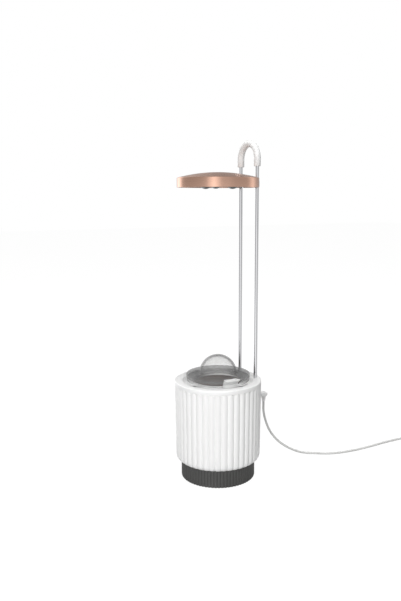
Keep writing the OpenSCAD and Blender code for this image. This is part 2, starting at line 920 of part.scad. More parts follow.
module heat_spreader() {
    color(steel)
        difference() {
            translate([0, 0, spreader_z])
                cylinder(r = spreader_r, h = spreader_t);
            around(spreader_turns, spreader_boss_at)
                translate([0, 0, lamp_z])
                    cylinder(r = lamp_hole_r, h = lamp_rim_h);
        }
}

module spreader_screws() {
    color(steel)
        around(spreader_turns, spreader_boss_at)
            screw_up(led_board_z, spreader_screw_l, lamp_screw_r, lamp_head_r, 1.4);
}

module plate_screws() {
    color(steel)
        around(plate_turns, plate_boss_at)
            screw_up(lamp_plate_z, plate_screw_l, lamp_screw_r, lamp_head_r, 1);
}

module contact_springs() {
    color("#c9a35a")
        at_rods()
            translate([-spring_w / 2, -clip_r - lift_gap - spring_t, lamp_plate_top])
                cube([spring_w, spring_t, spring_h]);
}

module lamp_wires() {
    color("#b23b32") {
        tube_along(LAMP_WIRE_ROUTE, wire_r - 0.1, [1, 0, 0]);
        mirror([1, 0, 0])
            tube_along(LAMP_WIRE_ROUTE, wire_r - 0.1, [1, 0, 0]);
    }
}

// --- USB lead ---

module usb_tip() {
    color("#55585b")
        difference() {
            prism_y(rounded_box(tip_w, tip_t, usb_corner_r), tip_y, plug_y - tip_y, usb_z);
            prism_y(rounded_box(tip_w - 1.05, 1.2, 0.5), tip_y - over, tip_l - 1.4 + over, usb_z);
        }
}

module plug_body() {
    color(white)
        prism_y(rounded_box(plug_w, plug_t, 2.4), plug_y, plug_l, usb_z);
}

module strain_relief() {
    color(white)
        translate([0, relief_y, usb_z - plug_t / 2 - relief_h])
            cylinder(r1 = relief_low_r, r2 = relief_r, h = relief_h);
}

module cord_tube() {
    color("#cfcfcf")
        tube_along(doubled(CORD_ROUTE), cord_r, [1, 0, 0]);
}

module cord_coil() {
    color("#cfcfcf")
        translate([coil_x, coil_y, 0])
            ring(coil_at_r + coil_half_w, coil_at_r - coil_half_w, coil_z, coil_h);
}

module cord_tail() {
    color("#cfcfcf")
        tube_along(doubled(TAIL_ROUTE), cord_r, [0, 1, 0]);
}

module coil_tie() {
    width = 2 * (coil_half_w + tie_gap);
    color("#8c8c8c")
        translate([coil_x - tie_w / 2, coil_y - coil_at_r, 0])
            difference() {
                translate([0, -width / 2 - 0.6, 0])
                    cube([tie_w, width + 1.2, coil_z + coil_h + 0.7]);
                translate([-over, -width / 2, coil_z - 0.1])
                    cube([tie_w + 2 * over, width, coil_h + 0.2]);
            }
}

module charger_plug() {
    color(white)
        translate([0, tail_y, charger_h / 2]) {
            translate([charger_x, 0, 0])
                rotate([90, 0, 90])
                    linear_extrude(charger_l)
                        polygon(rounded_box(charger_w, charger_h, 1.6));
            translate([charger_x - charger_relief_l, 0, 0])
                rotate([0, 90, 0])
                    cylinder(r1 = relief_low_r, r2 = 3.2, h = charger_relief_l);
        }
}

module charger_tip() {
    color(steel)
        translate([charger_x + charger_l, tail_y, charger_h / 2])
            difference() {
                translate([0, -charger_tip_w / 2, -charger_tip_t / 2])
                    cube([charger_tip_l, charger_tip_w, charger_tip_t]);
                translate([1.5, -charger_tip_w / 2 + 0.4, -charger_tip_t / 2 + 0.4])
                    cube([charger_tip_l, charger_tip_w - 0.8, 1.9]);
            }
}

outer_shell();
top_collar();
reservoir();
tank_seal();
foot_ring();
bottom_cover();
foot_pads();
cover_screws();
control_board();
board_parts();
board_screws();
usb_socket();
rod_socket_left();
rod_socket_right();
rod_left();
rod_right();
wire_plus();
wire_minus();
top_handle();
grow_pot();
wick_tube();
wick();
growing_medium();
lid_ring();
clear_lid();
rod_clips();
lamp_housing();
lamp_plate();
led_board();
led_chips();
led_lenses();
heat_spreader();
spreader_screws();
plate_screws();
contact_springs();
lamp_wires();
usb_tip();
plug_body();
strain_relief();
cord_tube();
cord_coil();
cord_tail();
coil_tie();
charger_plug();
charger_tip();
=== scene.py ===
"""Dresses the countertop hydroponic garden: shaped pieces, finishes, lead, light and camera."""

import math
import random

import bmesh
import bpy
from bpy.props import FloatProperty, FloatVectorProperty, IntProperty, PointerProperty
from bpy.types import Operator, Panel, PropertyGroup
from mathutils import Matrix, Vector, noise


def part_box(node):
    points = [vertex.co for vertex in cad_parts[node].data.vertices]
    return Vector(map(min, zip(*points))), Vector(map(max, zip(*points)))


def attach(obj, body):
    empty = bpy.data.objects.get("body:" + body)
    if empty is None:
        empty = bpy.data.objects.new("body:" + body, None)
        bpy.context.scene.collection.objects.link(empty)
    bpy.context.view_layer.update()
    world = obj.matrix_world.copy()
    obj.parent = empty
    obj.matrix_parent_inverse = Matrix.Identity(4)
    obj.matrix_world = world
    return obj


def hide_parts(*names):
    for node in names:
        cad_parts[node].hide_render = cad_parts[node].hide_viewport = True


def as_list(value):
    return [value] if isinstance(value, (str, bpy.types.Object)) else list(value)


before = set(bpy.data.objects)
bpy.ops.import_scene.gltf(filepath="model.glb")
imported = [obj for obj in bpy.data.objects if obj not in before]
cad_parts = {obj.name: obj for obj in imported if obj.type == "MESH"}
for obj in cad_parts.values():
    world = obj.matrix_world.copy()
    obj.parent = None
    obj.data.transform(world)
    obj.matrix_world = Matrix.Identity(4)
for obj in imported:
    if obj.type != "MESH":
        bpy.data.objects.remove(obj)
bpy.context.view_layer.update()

bl_info = {
    "name": "Countertop hydroponic garden",
    "version": (1, 0, 0),
    "blender": (4, 5, 0),
    "location": "3D View > Sidebar > Garden",
    "description": "Builds the looks of a countertop hydroponic garden around its packed solids",
    "category": "Object",
}

MM = 0.001

# Points of a mesh that lie closer than this are one point, in millimetres
DOUBLED = 0.002


def node_box(node):
    """A solid's lowest and highest corners, in millimetres."""
    low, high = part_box(node)
    return low / MM, high / MM


POT_LOW, POT_HIGH = node_box("grow_pot")
MEDIUM_LOW, MEDIUM_HIGH = node_box("growing_medium")
TUBE_LOW, TUBE_HIGH = node_box("wick_tube")
RING_LOW, RING_HIGH = node_box("lid_ring")
LID_LOW, LID_HIGH = node_box("clear_lid")
LAMP_LOW = node_box("lamp_housing")[0]
PLATE_HIGH = node_box("lamp_plate")[1]
LENS_LOW, LENS_HIGH = node_box("led_lenses")

# Places and sizes that several pieces share, in millimetres
SOCKET_HEIGHT = 105
SPLIT_HEIGHT = 2.6  # from the rim down to the joint between the collar and the shell
ROD_X, ROD_Y = 20.5, 48.6
RELIEF_Y = 76.6
HANDLE_FOOT, HANDLE_BEND = 428.7, 438.7
FEED_HOLE = 6.33
COIL_CENTRE = (62, 346.3)
COIL_RADIUS = 22.7

# The camera, in metres and radians, with its lens for a sensor 36 mm wide
CAMERA_AZIMUTH = math.radians(60)
CAMERA_PITCH = math.radians(9)
CAMERA_DISTANCE, CAMERA_HEIGHT = 0.8763, 0.3874
CAMERA_LENS = 38.94
CAMERA_SHIFT = -17.5 / 601

# Light: the height that the lamps face, the world's plain light, and how the floor shows to the camera
LAMP_AIM = 0.22
PLAIN_LIGHT = 0.26
FLOOR_GLOW = 1.15
FLOOR_SHARE = 0.84

# Brightness of the studio's walls, by direction from +X towards +Y, in degrees
WALL_BANDS = [
    (-180, 1.95), (-168, 2.4), (-157, 1.8), (-146, 0.75), (-130, 0.58), (-105, 0.58), (-80, 0.64), (-62, 0.78),
    (-52, 1.4), (-41, 1.98), (-30, 1.4), (-20, 0.85), (0, 0.8), (20, 0.65), (45, 0.64), (62, 0.66), (73, 1.15),
    (82, 1.5), (91, 1.15), (102, 0.68), (125, 0.56), (150, 0.52), (163, 0.66), (172, 1.25), (180, 1.95),
]
WALL_PEAK = 3.0

# Clear plastic from face-on (0) to edge-on (1): its grey, light face-on as its own tint and darker edge-on as
# painted shade, how much it covers, and the share on its far sides
CLEAR_TINT_AND_EDGE_SHADE = [(0.0, 0.5), (0.5, 0.42), (0.75, 0.16), (1.0, 0.06)]
CLEAR_COVER = [(0.0, 0.2), (0.45, 0.24), (0.62, 0.45), (0.78, 0.75), (1.0, 0.92)]
CLEAR_BACK_SHARE = 0.12

# The lead's route from its strain relief to its coil, and from its coil to the charger plug, in millimetres
LEAD_ROUTE = [
    (0, 76.6, 93.9), (0, 76.6, 88), (0, 76.6, 82.5), (0.5, 77.5, 74), (1, 80, 64.5), (1.5, 83.5, 55),
    (2, 88.5, 45.5), (3, 94.5, 37), (3.5, 102, 29), (4.5, 110.5, 22), (5, 120, 15.5), (6, 130, 10),
    (7, 141, 5.2), (9, 152, 2.3), (13.5, 161.5, 1.65), (20, 170, 1.65), (25.5, 179, 1.65),
    (29.5, 189, 1.65), (32.5, 200, 1.65), (34.5, 212, 1.65), (35.8, 225, 1.65), (36.3, 238, 1.65),
    (36.3, 252, 1.65), (35.8, 266, 1.65), (35.2, 280, 1.65), (35, 293, 1.65), (35.2, 306, 1.65),
    (36.2, 318, 1.9), (38.2, 330, 2.2), (39.3, 338.5, 2.35),
]
LEAD_TAIL = [(65, 369, 5.6), (71, 369, 5), (75, 369, 4.1), (78.5, 369, 3.5), (82, 369, 3.5), (86, 369, 3.5)]


# ---------------------------------------------------------------- sizes and colours


class GardenBaseSizes(PropertyGroup):
    radius: FloatProperty(name="Radius", description="Radius of the base at its rim, mm", default=60.0, min=40)
    foot_end_radius: FloatProperty(
        name="Lower radius", description="Radius of the base just above its rounded edge, mm", default=58.8
    )
    height: FloatProperty(name="Height", description="Height of the base, mm", default=138.0)
    foot_radius: FloatProperty(name="Foot radius", description="Radius of the dark foot, mm", default=51.5)
    foot_height: FloatProperty(name="Foot height", description="Height of the dark foot, mm", default=25.0)
    flutes: IntProperty(name="Flutes", description="Number of flutes around the base", default=42, min=8)
    flute_depth: FloatProperty(name="Flute depth", description="Depth of the grooves, mm", default=1.5)
    ribs: IntProperty(name="Foot ribs", description="Number of ribs around the foot", default=70, min=8)
    band: FloatProperty(name="Plain band", description="Height of the plain band at the rim, mm", default=5.5)


class GardenPotSizes(PropertyGroup):
    radius: FloatProperty(name="Pot radius", description="Radius of the pot at its rim, mm", default=35.6)
    low_radius: FloatProperty(
        name="Pot lower radius", description="Radius of the pot at its floor, mm", default=31.4
    )
    wall: FloatProperty(name="Pot wall", description="Thickness of the pot's wall, mm", default=1.2)
    rim: FloatProperty(name="Rim height", description="Height of the pot's rim, mm", default=138.0)
    port_turn: FloatProperty(
        name="Port direction", description="Direction of the watering port, degrees", default=-1.5
    )
    port_half: FloatProperty(name="Port width", description="Half of the port's angle, degrees", default=19.0)
    ring_radius: FloatProperty(name="Ring radius", description="Radius of the clear ring, mm", default=43.5)
    ring_hole: FloatProperty(name="Ring hole", description="Radius of the clear ring's hole, mm", default=29.0)
    lid_radius: FloatProperty(name="Lid radius", description="Radius of the clear lid, mm", default=44.1)
    dome_radius: FloatProperty(name="Dome radius", description="Radius of the clear dome, mm", default=26.0)


class GardenLampSizes(PropertyGroup):
    radius: FloatProperty(name="Lamp radius", description="Radius of the lamp head, mm", default=54.7)
    rim: FloatProperty(name="Rim height", description="Height of the lamp's upright rim, mm", default=12.6)
    dome: FloatProperty(name="Dome rise", description="Rise of the lamp's top, mm", default=7.3)


class GardenLeadSizes(PropertyGroup):
    diameter: FloatProperty(name="Cord diameter", description="Diameter of the cord, mm", default=3.3)
    turns: FloatProperty(name="Turns", description="Turns in the coil", default=5.25)


def colour_property(name, description, value):
    return FloatVectorProperty(
        name=name, description=description, subtype="COLOR", size=3, min=0, max=1, default=value
    )


class GardenColours(PropertyGroup):
    white: colour_property("White plastic", "Colour of the moulded white plastic", (0.87, 0.87, 0.867))
    foot: colour_property("Foot", "Colour of the dark foot", (0.062, 0.062, 0.06))
    copper: colour_property("Lamp head", "Colour of the brushed lamp head", (0.71, 0.44, 0.333))
    chrome: colour_property("Rods", "Colour of the polished rods", (0.7, 0.7, 0.715))
    medium: colour_property("Growing medium", "Colour of the coir", (0.088, 0.064, 0.056))
    cord: colour_property("Cord", "Colour of the cord's sheath", (0.62, 0.62, 0.61))
    floor: colour_property("Floor", "Colour of the floor and backdrop", (1.0, 1.0, 1.0))


class GardenSettings(PropertyGroup):
    base: PointerProperty(type=GardenBaseSizes)
    pot: PointerProperty(type=GardenPotSizes)
    lamp: PointerProperty(type=GardenLampSizes)
    lead: PointerProperty(type=GardenLeadSizes)
    colours: PointerProperty(type=GardenColours)


def settings():
    return bpy.context.scene.garden


# ---------------------------------------------------------------- mesh helpers, in millimetres


def new_piece(name, points, faces, smooth_angle=38):
    """A mesh object from points in millimetres."""
    mesh = bpy.data.meshes.new(name)
    mesh.from_pydata([(x * MM, y * MM, z * MM) for x, y, z in points], [], faces)
    piece = bpy.data.objects.new(name, mesh)
    bpy.context.scene.collection.objects.link(piece)
    tidy_mesh(piece, smooth_angle)
    return piece


def tidy_mesh(piece, smooth_angle=38):
    """Joins doubled points, turns the faces outwards and keeps edges sharper than the angle crisp."""
    mesh = piece.data
    work = bmesh.new()
    work.from_mesh(mesh)
    bmesh.ops.remove_doubles(work, verts=work.verts, dist=DOUBLED * MM)
    bmesh.ops.dissolve_degenerate(work, edges=work.edges, dist=DOUBLED * MM)
    bmesh.ops.recalc_face_normals(work, faces=work.faces)
    work.to_mesh(mesh)
    work.free()
    mesh.polygons.foreach_set("use_smooth", [True] * len(mesh.polygons))
    mesh.set_sharp_from_angle(angle=math.radians(smooth_angle))
    mesh.update()


def skin_faces(sections, rows, first=0, loop=False, around=True, capped=True):
    """The faces over a number of equal sections, each of so many rows, from the first point on."""
    faces = []
    for s in range(sections if loop else sections - 1):
        here, ahead = first + s * rows, first + (s + 1) % sections * rows
        for k in range(rows if around else rows - 1):
            m = (k + 1) % rows
            faces.append((here + k, ahead + k, ahead + m, here + m))
    if capped:
        last = first + (sections - 1) * rows
        faces.append(tuple(range(first, first + rows)))
        faces.append(tuple(reversed(range(last, last + rows))))
    return faces


def skin(name, sections, smooth_angle=38, **how):
    """A body over equal sections of points."""
    points = [point for section in sections for point in section]
    return new_piece(name, points, skin_faces(len(sections), len(sections[0]), **how), smooth_angle)


def polar(r, angle, z):
    """The point at a radius, an angle in radians and a height."""
    return (r * math.cos(angle), r * math.sin(angle), z)


def circle(centre, side, other, radius, columns):
    """Points round a centre, in the plane of two directions."""
    angles = [2 * math.pi * c / columns for c in range(columns)]
    return [tuple(centre + radius * (math.cos(a) * side + math.sin(a) * other)) for a in angles]


def filleted(corners, steps=4):
    """The closed outline through corners (x, y, fillet radius), each corner rounded by an arc."""
    points = []
    for i, (x, y, fillet) in enumerate(corners):
        here = Vector((x, y))
        if fillet <= 0:
            points.append((x, y))
            continue
        back = Vector(corners[i - 1][:2]) - here
        ahead = Vector(corners[(i + 1) % len(corners)][:2]) - here
        back_length, ahead_length = back.length, ahead.length
        back.normalize()
        ahead.normalize()
        half = back.angle(ahead) / 2
        reach = min(fillet / math.tan(half), 0.48 * back_length, 0.48 * ahead_length)
        radius = reach * math.tan(half)
        centre = here + (back + ahead).normalized() * (radius / math.sin(half))
        first = (here + back * reach) - centre
        last = (here + ahead * reach) - centre
        start = math.atan2(first.y, first.x)
        turn = math.atan2(last.y, last.x) - start
        turn = (turn + math.pi) % (2 * math.pi) - math.pi
        for s in range(steps + 1):
            a = start + turn * s / steps
            points.append((centre.x + radius * math.cos(a), centre.y + radius * math.sin(a)))
    return points


def turned(name, profile, columns=192, shape=None, smooth_angle=38, closed=True):
    """A body turned about the upright axis. shape(angle, radius, height) may move each point."""
    sections = []
    for c in range(columns):
        a = 2 * math.pi * c / columns
        moved = [shape(a, r, z) for r, z in profile] if shape else profile
        sections.append([polar(r, a, z) for r, z in moved])
    return skin(name, sections, smooth_angle, loop=True, around=closed, capped=False)


def sector(name, profile, turn, half, columns=24):
    """A profile (radius, height) turned half of its width, in degrees, to each side of a direction."""
    sections = []
    for c in range(columns + 1):
        a = math.radians(turn - half + 2 * half * c / columns)
        sections.append([polar(r, a, z) for r, z in profile])
    return skin(name, sections)


def wedge(name, low_r, high_r, low_z, high_z, turn, half, columns=24):
    """A part of a plain ring."""
    corners = [(low_r, low_z), (high_r, low_z), (high_r, high_z), (low_r, high_z)]
    return sector(name, corners, turn, half, columns)


def swept_outline(name, outline, place, depth, smooth_angle=38):
    """A prism of a 2D outline. place(x, y, d) gives the point at depth d; depth holds (distance, shrink)."""
    count = len(outline)
    middle_x = sum(p[0] for p in outline) / count
    middle_y = sum(p[1] for p in outline) / count
    reach_x = max(abs(p[0] - middle_x) for p in outline)
    reach_y = max(abs(p[1] - middle_y) for p in outline)
    sections = []
    for d, shrink in depth:
        wide, tall = 1 - shrink / reach_x, 1 - shrink / reach_y
        sections.append(
            [place(middle_x + (x - middle_x) * wide, middle_y + (y - middle_y) * tall, d) for x, y in outline]
        )
    return skin(name, sections, smooth_angle)


def rounded_box(width, height, radius, steps=5):
    """The outline of a box about the origin, with rounded corners."""
    w, h = width / 2, height / 2
    return filleted([(w, -h, radius), (w, h, radius), (-w, h, radius), (-w, -h, radius)], steps)


def at_socket(x, z, d):
    """A point of an outline that faces backwards at the USB socket's height."""
    return (x, d, SOCKET_HEIGHT + z)


def facing_x(y, z):
    """Places an outline about (y, z) so that it faces along the X axis."""
    return lambda across, up, d: (d, y + across, z + up)


def rod_between(name, start, end, radius, end_radius=None, columns=24):
    """A round bar from one point to another."""
    start, end = Vector(start), Vector(end)
    way = (end - start).normalized()
    side = way.orthogonal().normalized()
    other = way.cross(side)
    end_radius = radius if end_radius is None else end_radius
    return skin(name, [circle(p, side, other, r, columns) for p, r in ((start, radius), (end, end_radius))])


def applied(piece, smooth_angle=38):
    """The piece with its modifiers made part of its mesh."""
    bpy.context.view_layer.update()
    graph = bpy.context.evaluated_depsgraph_get()
    mesh = bpy.data.meshes.new_from_object(piece.evaluated_get(graph))
    old = piece.data
    piece.modifiers.clear()
    piece.data = mesh
    mesh.name = piece.name
    bpy.data.meshes.remove(old)
    tidy_mesh(piece, smooth_angle)
    return piece


def carve(piece, cutters, operation="DIFFERENCE", smooth_angle=38):
    """Cuts the cutters out of the piece, or joins them to it, and removes them."""
    for cutter in cutters:
        step = piece.modifiers.new("Shape", "BOOLEAN")
        step.operation = operation
        step.solver = "EXACT"
        step.object = cutter
        applied(piece, smooth_angle)
        bpy.data.objects.remove(cutter)
    return piece


def join_pieces(pieces, name):
    """One object from several."""
    points, faces = [], []
    for piece in pieces:
        first = len(points)
        points += [tuple(v.co / MM) for v in piece.data.vertices]
        faces += [tuple(first + v for v in p.vertices) for p in piece.data.polygons]
        bpy.data.objects.remove(piece)
    return new_piece(name, points, faces)


def add_bevel(piece, width, segments, angle):
    """Adds a modifier that rounds edges sharper than the angle, in degrees."""
    step = piece.modifiers.new("Soft edges", "BEVEL")
    step.width = width * MM
    step.segments = segments
    step.limit_method = "ANGLE"
    step.angle_limit = math.radians(angle)


def softened(piece, width, segments=2, angle=35):
    """The piece with its sharp edges rounded a little."""
    add_bevel(piece, width, segments, angle)
    return applied(piece)


def place_piece(piece, body, material, slot, *nodes):
    """Rides the piece on its body, gives it its finish and hides the solids it stands for."""
    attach(piece, body)
    if nodes:
        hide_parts(*nodes)
    if piece.type == "MESH":
        piece.data.materials.clear()
    piece.data.materials.append(material)


def finish_node(node, material, bevel=0.0):
    """Gives a carried-over solid its finish and soft edges."""
    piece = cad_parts[node]
    piece.data.materials.clear()
    piece.data.materials.append(material)
    for polygon in piece.data.polygons:
        polygon.material_index = 0
    if bevel:
        weld = piece.modifiers.new("Join", "WELD")
        weld.merge_threshold = 0.00001
        add_bevel(piece, bevel, 2, 40)


# ---------------------------------------------------------------- material helpers


class Nodes:
    """A node tree with short ways to add nodes and feed their sockets."""

    def __init__(self, tree):
        self.tree = tree

    def add(self, kind, inputs=None, **values):
        """A new node with these properties. Each input gets a value, or a link from another socket."""
        node = self.tree.nodes.new(kind)
        for key, value in values.items():
            setattr(node, key, value)
        for key, value in (inputs or {}).items():
            self.feed(node.inputs[key], value)
        return node

    def feed(self, socket, value):
        if isinstance(value, bpy.types.NodeSocket):
            self.tree.links.new(value, socket)
        else:
            socket.default_value = value

    def math(self, operation, a, b=0.5, clamp=False):
        node = self.add("ShaderNodeMath", {0: a, 1: b}, operation=operation, use_clamp=clamp)
        return node.outputs[0]

    def ramp(self, source, stops):
        """A colour ramp whose stops are (position, grey or colour)."""
        node = self.add("ShaderNodeValToRGB", {"Fac": source})
        elements = node.color_ramp.elements
        while len(elements) < len(stops):
            elements.new(0.5)
        for element, (position, colour) in zip(elements, stops):
            element.position = position
            element.color = (*colour, 1.0) if isinstance(colour, tuple) else (colour, colour, colour, 1.0)
        return node.outputs["Color"]

    def multiplied(self, colour, other):
        mix = self.add("ShaderNodeMix", {0: 1.0, 6: colour, 7: other}, data_type="RGBA", blend_type="MULTIPLY")
        return mix.outputs[2]


class Finish(Nodes):
    """A material with one Principled shader."""

    def __init__(self, name):
        self.material = bpy.data.materials.new(name)
        self.material.use_nodes = True
        super().__init__(self.material.node_tree)
        self.tree.nodes.clear()
        self.shader = self.add("ShaderNodeBsdfPrincipled")
        self.add("ShaderNodeOutputMaterial", {"Surface": self.shader.outputs["BSDF"]})
        self.place = self.add("ShaderNodeTexCoord").outputs["Object"]

    def set(self, **values):
        """Feeds the shader's sockets, whose names have an underscore here for each space."""
        for key, value in values.items():
            self.feed(self.shader.inputs[key.replace("_", " ")], value)

    def effect(self, name, relief, distance, **values):
        """Adds a shared effect, which colours, roughens and embosses the surface."""
        inputs = {key.replace("_", " "): value for key, value in values.items()}
        inputs["Place"] = self.place
        made = self.add("ShaderNodeGroup", inputs, node_tree=shared_effect(name)).outputs
        self.set(Base_Color=made["Color"])
        if "Roughness" in made:
            self.set(Roughness=made["Roughness"])
        bump = self.add("ShaderNodeBump", {"Strength": relief, "Distance": distance, "Height": made["Height"]})
        self.set(Normal=bump.outputs["Normal"])
        return made


class Effect(Nodes):
    """A shader node group that takes a place and named values, and gives a colour and a height."""

    def __init__(self, name, outputs=("Color", "Roughness", "Height"), **inputs):
        super().__init__(bpy.data.node_groups.new(name, "ShaderNodeTree"))
        self.socket("Place", "INPUT", "NodeSocketVector")
        for key, value in inputs.items():
            kind = "NodeSocketColor" if isinstance(value, tuple) else "NodeSocketFloat"
            self.socket(key.replace("_", " "), "INPUT", kind).default_value = value
        for key in outputs:
            self.socket(key, "OUTPUT", "NodeSocketColor" if key == "Color" else "NodeSocketFloat")
        self.given = self.add("NodeGroupInput").outputs
        self.output = self.add("NodeGroupOutput")

    def socket(self, name, way, kind):
        return self.tree.interface.new_socket(name, in_out=way, socket_type=kind)

    def give(self, **values):
        for key, value in values.items():
            self.feed(self.output.inputs[key], value)

    def cloud(self, place, scale, detail, roughness=0.5):
        """The outputs of a noise texture."""
        inputs = {"Vector": place, "Scale": scale, "Detail": detail, "Roughness": roughness}
        return self.add("ShaderNodeTexNoise", inputs).outputs

    def brightened(self, sway, share):
        """The base colour, made brighter or darker by a share of the sway about 0."""
        value = self.math("ADD", self.math("MULTIPLY", sway, share), 1.0)
        inputs = {"Color": self.given["Base Color"], "Value": value}
        return self.add("ShaderNodeHueSaturation", inputs).outputs["Color"]

    def roughened(self, amount):
        return self.math("ADD", amount, self.given["Roughness"], clamp=True)


def shade(colour, factor):
    return tuple(min(1.0, c * factor) for c in colour)


def moulded_grain_effect():
    """Fine moulded grain, with a slow mottling of the colour."""
    made = Effect(
        "Moulded grain", Base_Color=(0.8, 0.8, 0.8, 1), Mottling=0.03, Grain_Scale=2600.0, Roughness=0.35
    )
    place = made.given["Place"]
    slow = made.cloud(place, 34.0, 5.0)["Fac"]
    fine = made.cloud(place, made.given["Grain Scale"], 3.0)["Fac"]
    sway = made.math("SUBTRACT", slow, 0.5)
    fine_share = made.math("MULTIPLY", made.math("SUBTRACT", fine, 0.5), 0.14)
    rough = made.math("ADD", fine_share, made.math("MULTIPLY", sway, 0.12))
    made.give(Color=made.brightened(sway, made.given["Mottling"]), Roughness=made.roughened(rough), Height=fine)
    return made.tree


def brushed_effect():
    """Fine brushing that runs around the upright axis, on rims and on domed tops."""
    made = Effect("Brushed around", Base_Color=(0.8, 0.8, 0.8, 1), Streaks=0.12, Lines=5200.0, Roughness=0.3)
    spacing = made.given["Lines"]
    x, y, z = made.add("ShaderNodeSeparateXYZ", {0: made.given["Place"]}).outputs
    squares = made.math("ADD", made.math("MULTIPLY", x, x), made.math("MULTIPLY", y, y))
    outwards = made.math("MULTIPLY", made.math("SQRT", squares), spacing)
    around = made.math("MULTIPLY", made.math("ARCTAN2", y, x), 1.6)
    upwards = made.math("MULTIPLY", z, spacing)
    joined = made.add("ShaderNodeCombineXYZ", {"X": outwards, "Y": around, "Z": upwards}).outputs[0]
    lines = made.cloud(joined, 1.0, 4.0, 0.65)["Fac"]
    sway = made.math("SUBTRACT", lines, 0.5)
    rough = made.roughened(made.math("MULTIPLY", sway, 0.35))
    made.give(Color=made.brightened(sway, made.given["Streaks"]), Roughness=rough, Height=lines)
    return made.tree


def fibre_effect():
    """Matted coir: dark pith with pale and rusty fibres."""
    made = Effect("Matted fibre", ("Color", "Height"), Base_Color=(0.08, 0.055, 0.045, 1), Fibre_Scale=420.0)
    place = made.given["Place"]
    warp = made.cloud(place, 160.0, 3.0)["Color"]
    bend = {0: warp, 1: (0.012, 0.012, 0.012), 2: place}
    bent = made.add("ShaderNodeVectorMath", bend, operation="MULTIPLY_ADD").outputs[0]
    cells = {"Vector": bent, "Scale": made.given["Fibre Scale"]}
    strands = made.add("ShaderNodeTexVoronoi", cells, feature="DISTANCE_TO_EDGE").outputs["Distance"]
    crumbs = made.cloud(place, 900.0, 6.0, 0.7)["Fac"]
    mottle = made.ramp(crumbs, [(0.36, 0.35), (0.7, (1.9, 1.75, 1.65))])
    pith = made.multiplied(made.given["Base Color"], mottle)
    reach = {"Value": strands, "From Min": 0.0, "From Max": 0.09, "To Min": 0.85, "To Max": 0.0}
    thin = made.add("ShaderNodeMapRange", reach).outputs[0]
    pale = made.add("ShaderNodeMix", {0: thin, 6: pith, 7: (0.16, 0.105, 0.075, 1)}, data_type="RGBA")
    made.give(Color=pale.outputs[2], Height=made.math("ADD", crumbs, made.math("MULTIPLY", thin, 0.6)))
    return made.tree


EFFECTS = {}
MATERIALS = {}


def shared_effect(name):
    """An effect's node group, built once."""
    makers = {"grain": moulded_grain_effect, "brushed": brushed_effect, "fibre": fibre_effect}
    if name not in EFFECTS:
        EFFECTS[name] = makers[name]()
    return EFFECTS[name]


def moulded(name, colour, roughness=0.35, coat=0.0, grain=2600.0, relief=0.04, mottling=0.03):
    """Moulded plastic or rubber."""
    if name not in MATERIALS:
        made = Finish(name)
        made.effect("grain", relief, 0.0002, Base_Color=(*colour, 1), Mottling=mottling, Grain_Scale=grain,
                    Roughness=roughness)
        made.set(Coat_Weight=coat, Coat_Roughness=0.12, IOR=1.46)
        MATERIALS[name] = made.material
    return MATERIALS[name]


def brushed(name, colour, roughness=0.28, streaks=0.12, lines=5200.0, relief=0.05, anisotropic=0.5):
    """Brushed, turned or polished metal."""
    if name not in MATERIALS:
        made = Finish(name)
        made.effect("brushed", relief, 0.0001, Base_Color=(*colour, 1), Streaks=streaks, Lines=lines,
                    Roughness=roughness)
        made.set(Metallic=1.0, Anisotropic=anisotropic, Anisotropic_Rotation=0.25)
        MATERIALS[name] = made.material
    return MATERIALS[name]


def clear_plastic():
    """Clear moulded plastic: nearly see-through face-on, and grey where it is seen edge-on; the grey that deepens
    edge-on is painted shade.
    """
    made = Finish("clear_plastic")
    grainy = made.effect("grain", 0.015, 0.0002, Base_Color=(0.97, 0.97, 0.97, 1), Mottling=0.02,
                         Grain_Scale=300.0, Roughness=0.08)
    facing = made.add("ShaderNodeLayerWeight", {"Blend": 0.5}).outputs["Facing"]
    far_side = made.add("ShaderNodeNewGeometry").outputs["Backfacing"]
    share = made.add("ShaderNodeMapRange", {"Value": far_side, "To Min": 1.0, "To Max": CLEAR_BACK_SHARE})
    # The colour darkens from face-on to edge-on: painted shade at the plastic's edges, over its own light grey
    # tint.
    made.set(
        Base_Color=made.multiplied(grainy["Color"], made.ramp(facing, CLEAR_TINT_AND_EDGE_SHADE)),
        Alpha=made.math("MULTIPLY", made.ramp(facing, CLEAR_COVER), share.outputs[0]),
        IOR=1.46, Metallic=0.0, Specular_IOR_Level=0.15,
    )
    return made.material


def smoked_lens():
    """Dark glossy plastic of the lamp's lenses."""
    made = Finish("smoked_lens")
    made.effect("grain", 0.03, 0.0002, Base_Color=(0.1, 0.105, 0.11, 1), Mottling=0.1, Grain_Scale=500.0,
                Roughness=0.14)
    made.set(Coat_Weight=0.5, Coat_Roughness=0.05, IOR=1.5)
    return made.material


def coir():
    """The growing medium's matted fibre."""
    made = Finish("coir")
    made.effect("fibre", 0.9, 0.0009, Base_Color=(*settings().colours.medium, 1), Fibre_Scale=420.0)
    made.set(Roughness=0.92, Specular_IOR_Level=0.2)
    return made.material


def white_plastic():
    return moulded("white_plastic", settings().colours.white, roughness=0.32, coat=0.15, relief=0.03)


def matt_white():
    return moulded("matt_white", shade(settings().colours.white, 0.97), roughness=0.5, relief=0.05)


# A darker copy of the white plastic for the handle: painted shade, because the top lamp lights the handle more
# strongly than the rest.
def shaded_handle_white():
    return moulded("shaded_handle_white", shade(settings().colours.white, 0.9), roughness=0.5, relief=0.03)


# A brighter copy of the white plastic: painted light, for the tank's shaded inside and the tube in the pot's
# shadow.
def tank_white():
    return moulded("tank_white", (0.96, 0.96, 0.96), roughness=0.4)


def dark_plastic():
    return moulded("dark_plastic", settings().colours.foot, roughness=0.5, relief=0.12, mottling=0.12)


def red_wire():
    return moulded("wire_red", (0.45, 0.04, 0.03), roughness=0.45)


def steel():
    return brushed("bright_steel", (0.6, 0.6, 0.61), roughness=0.3, anisotropic=0.2)


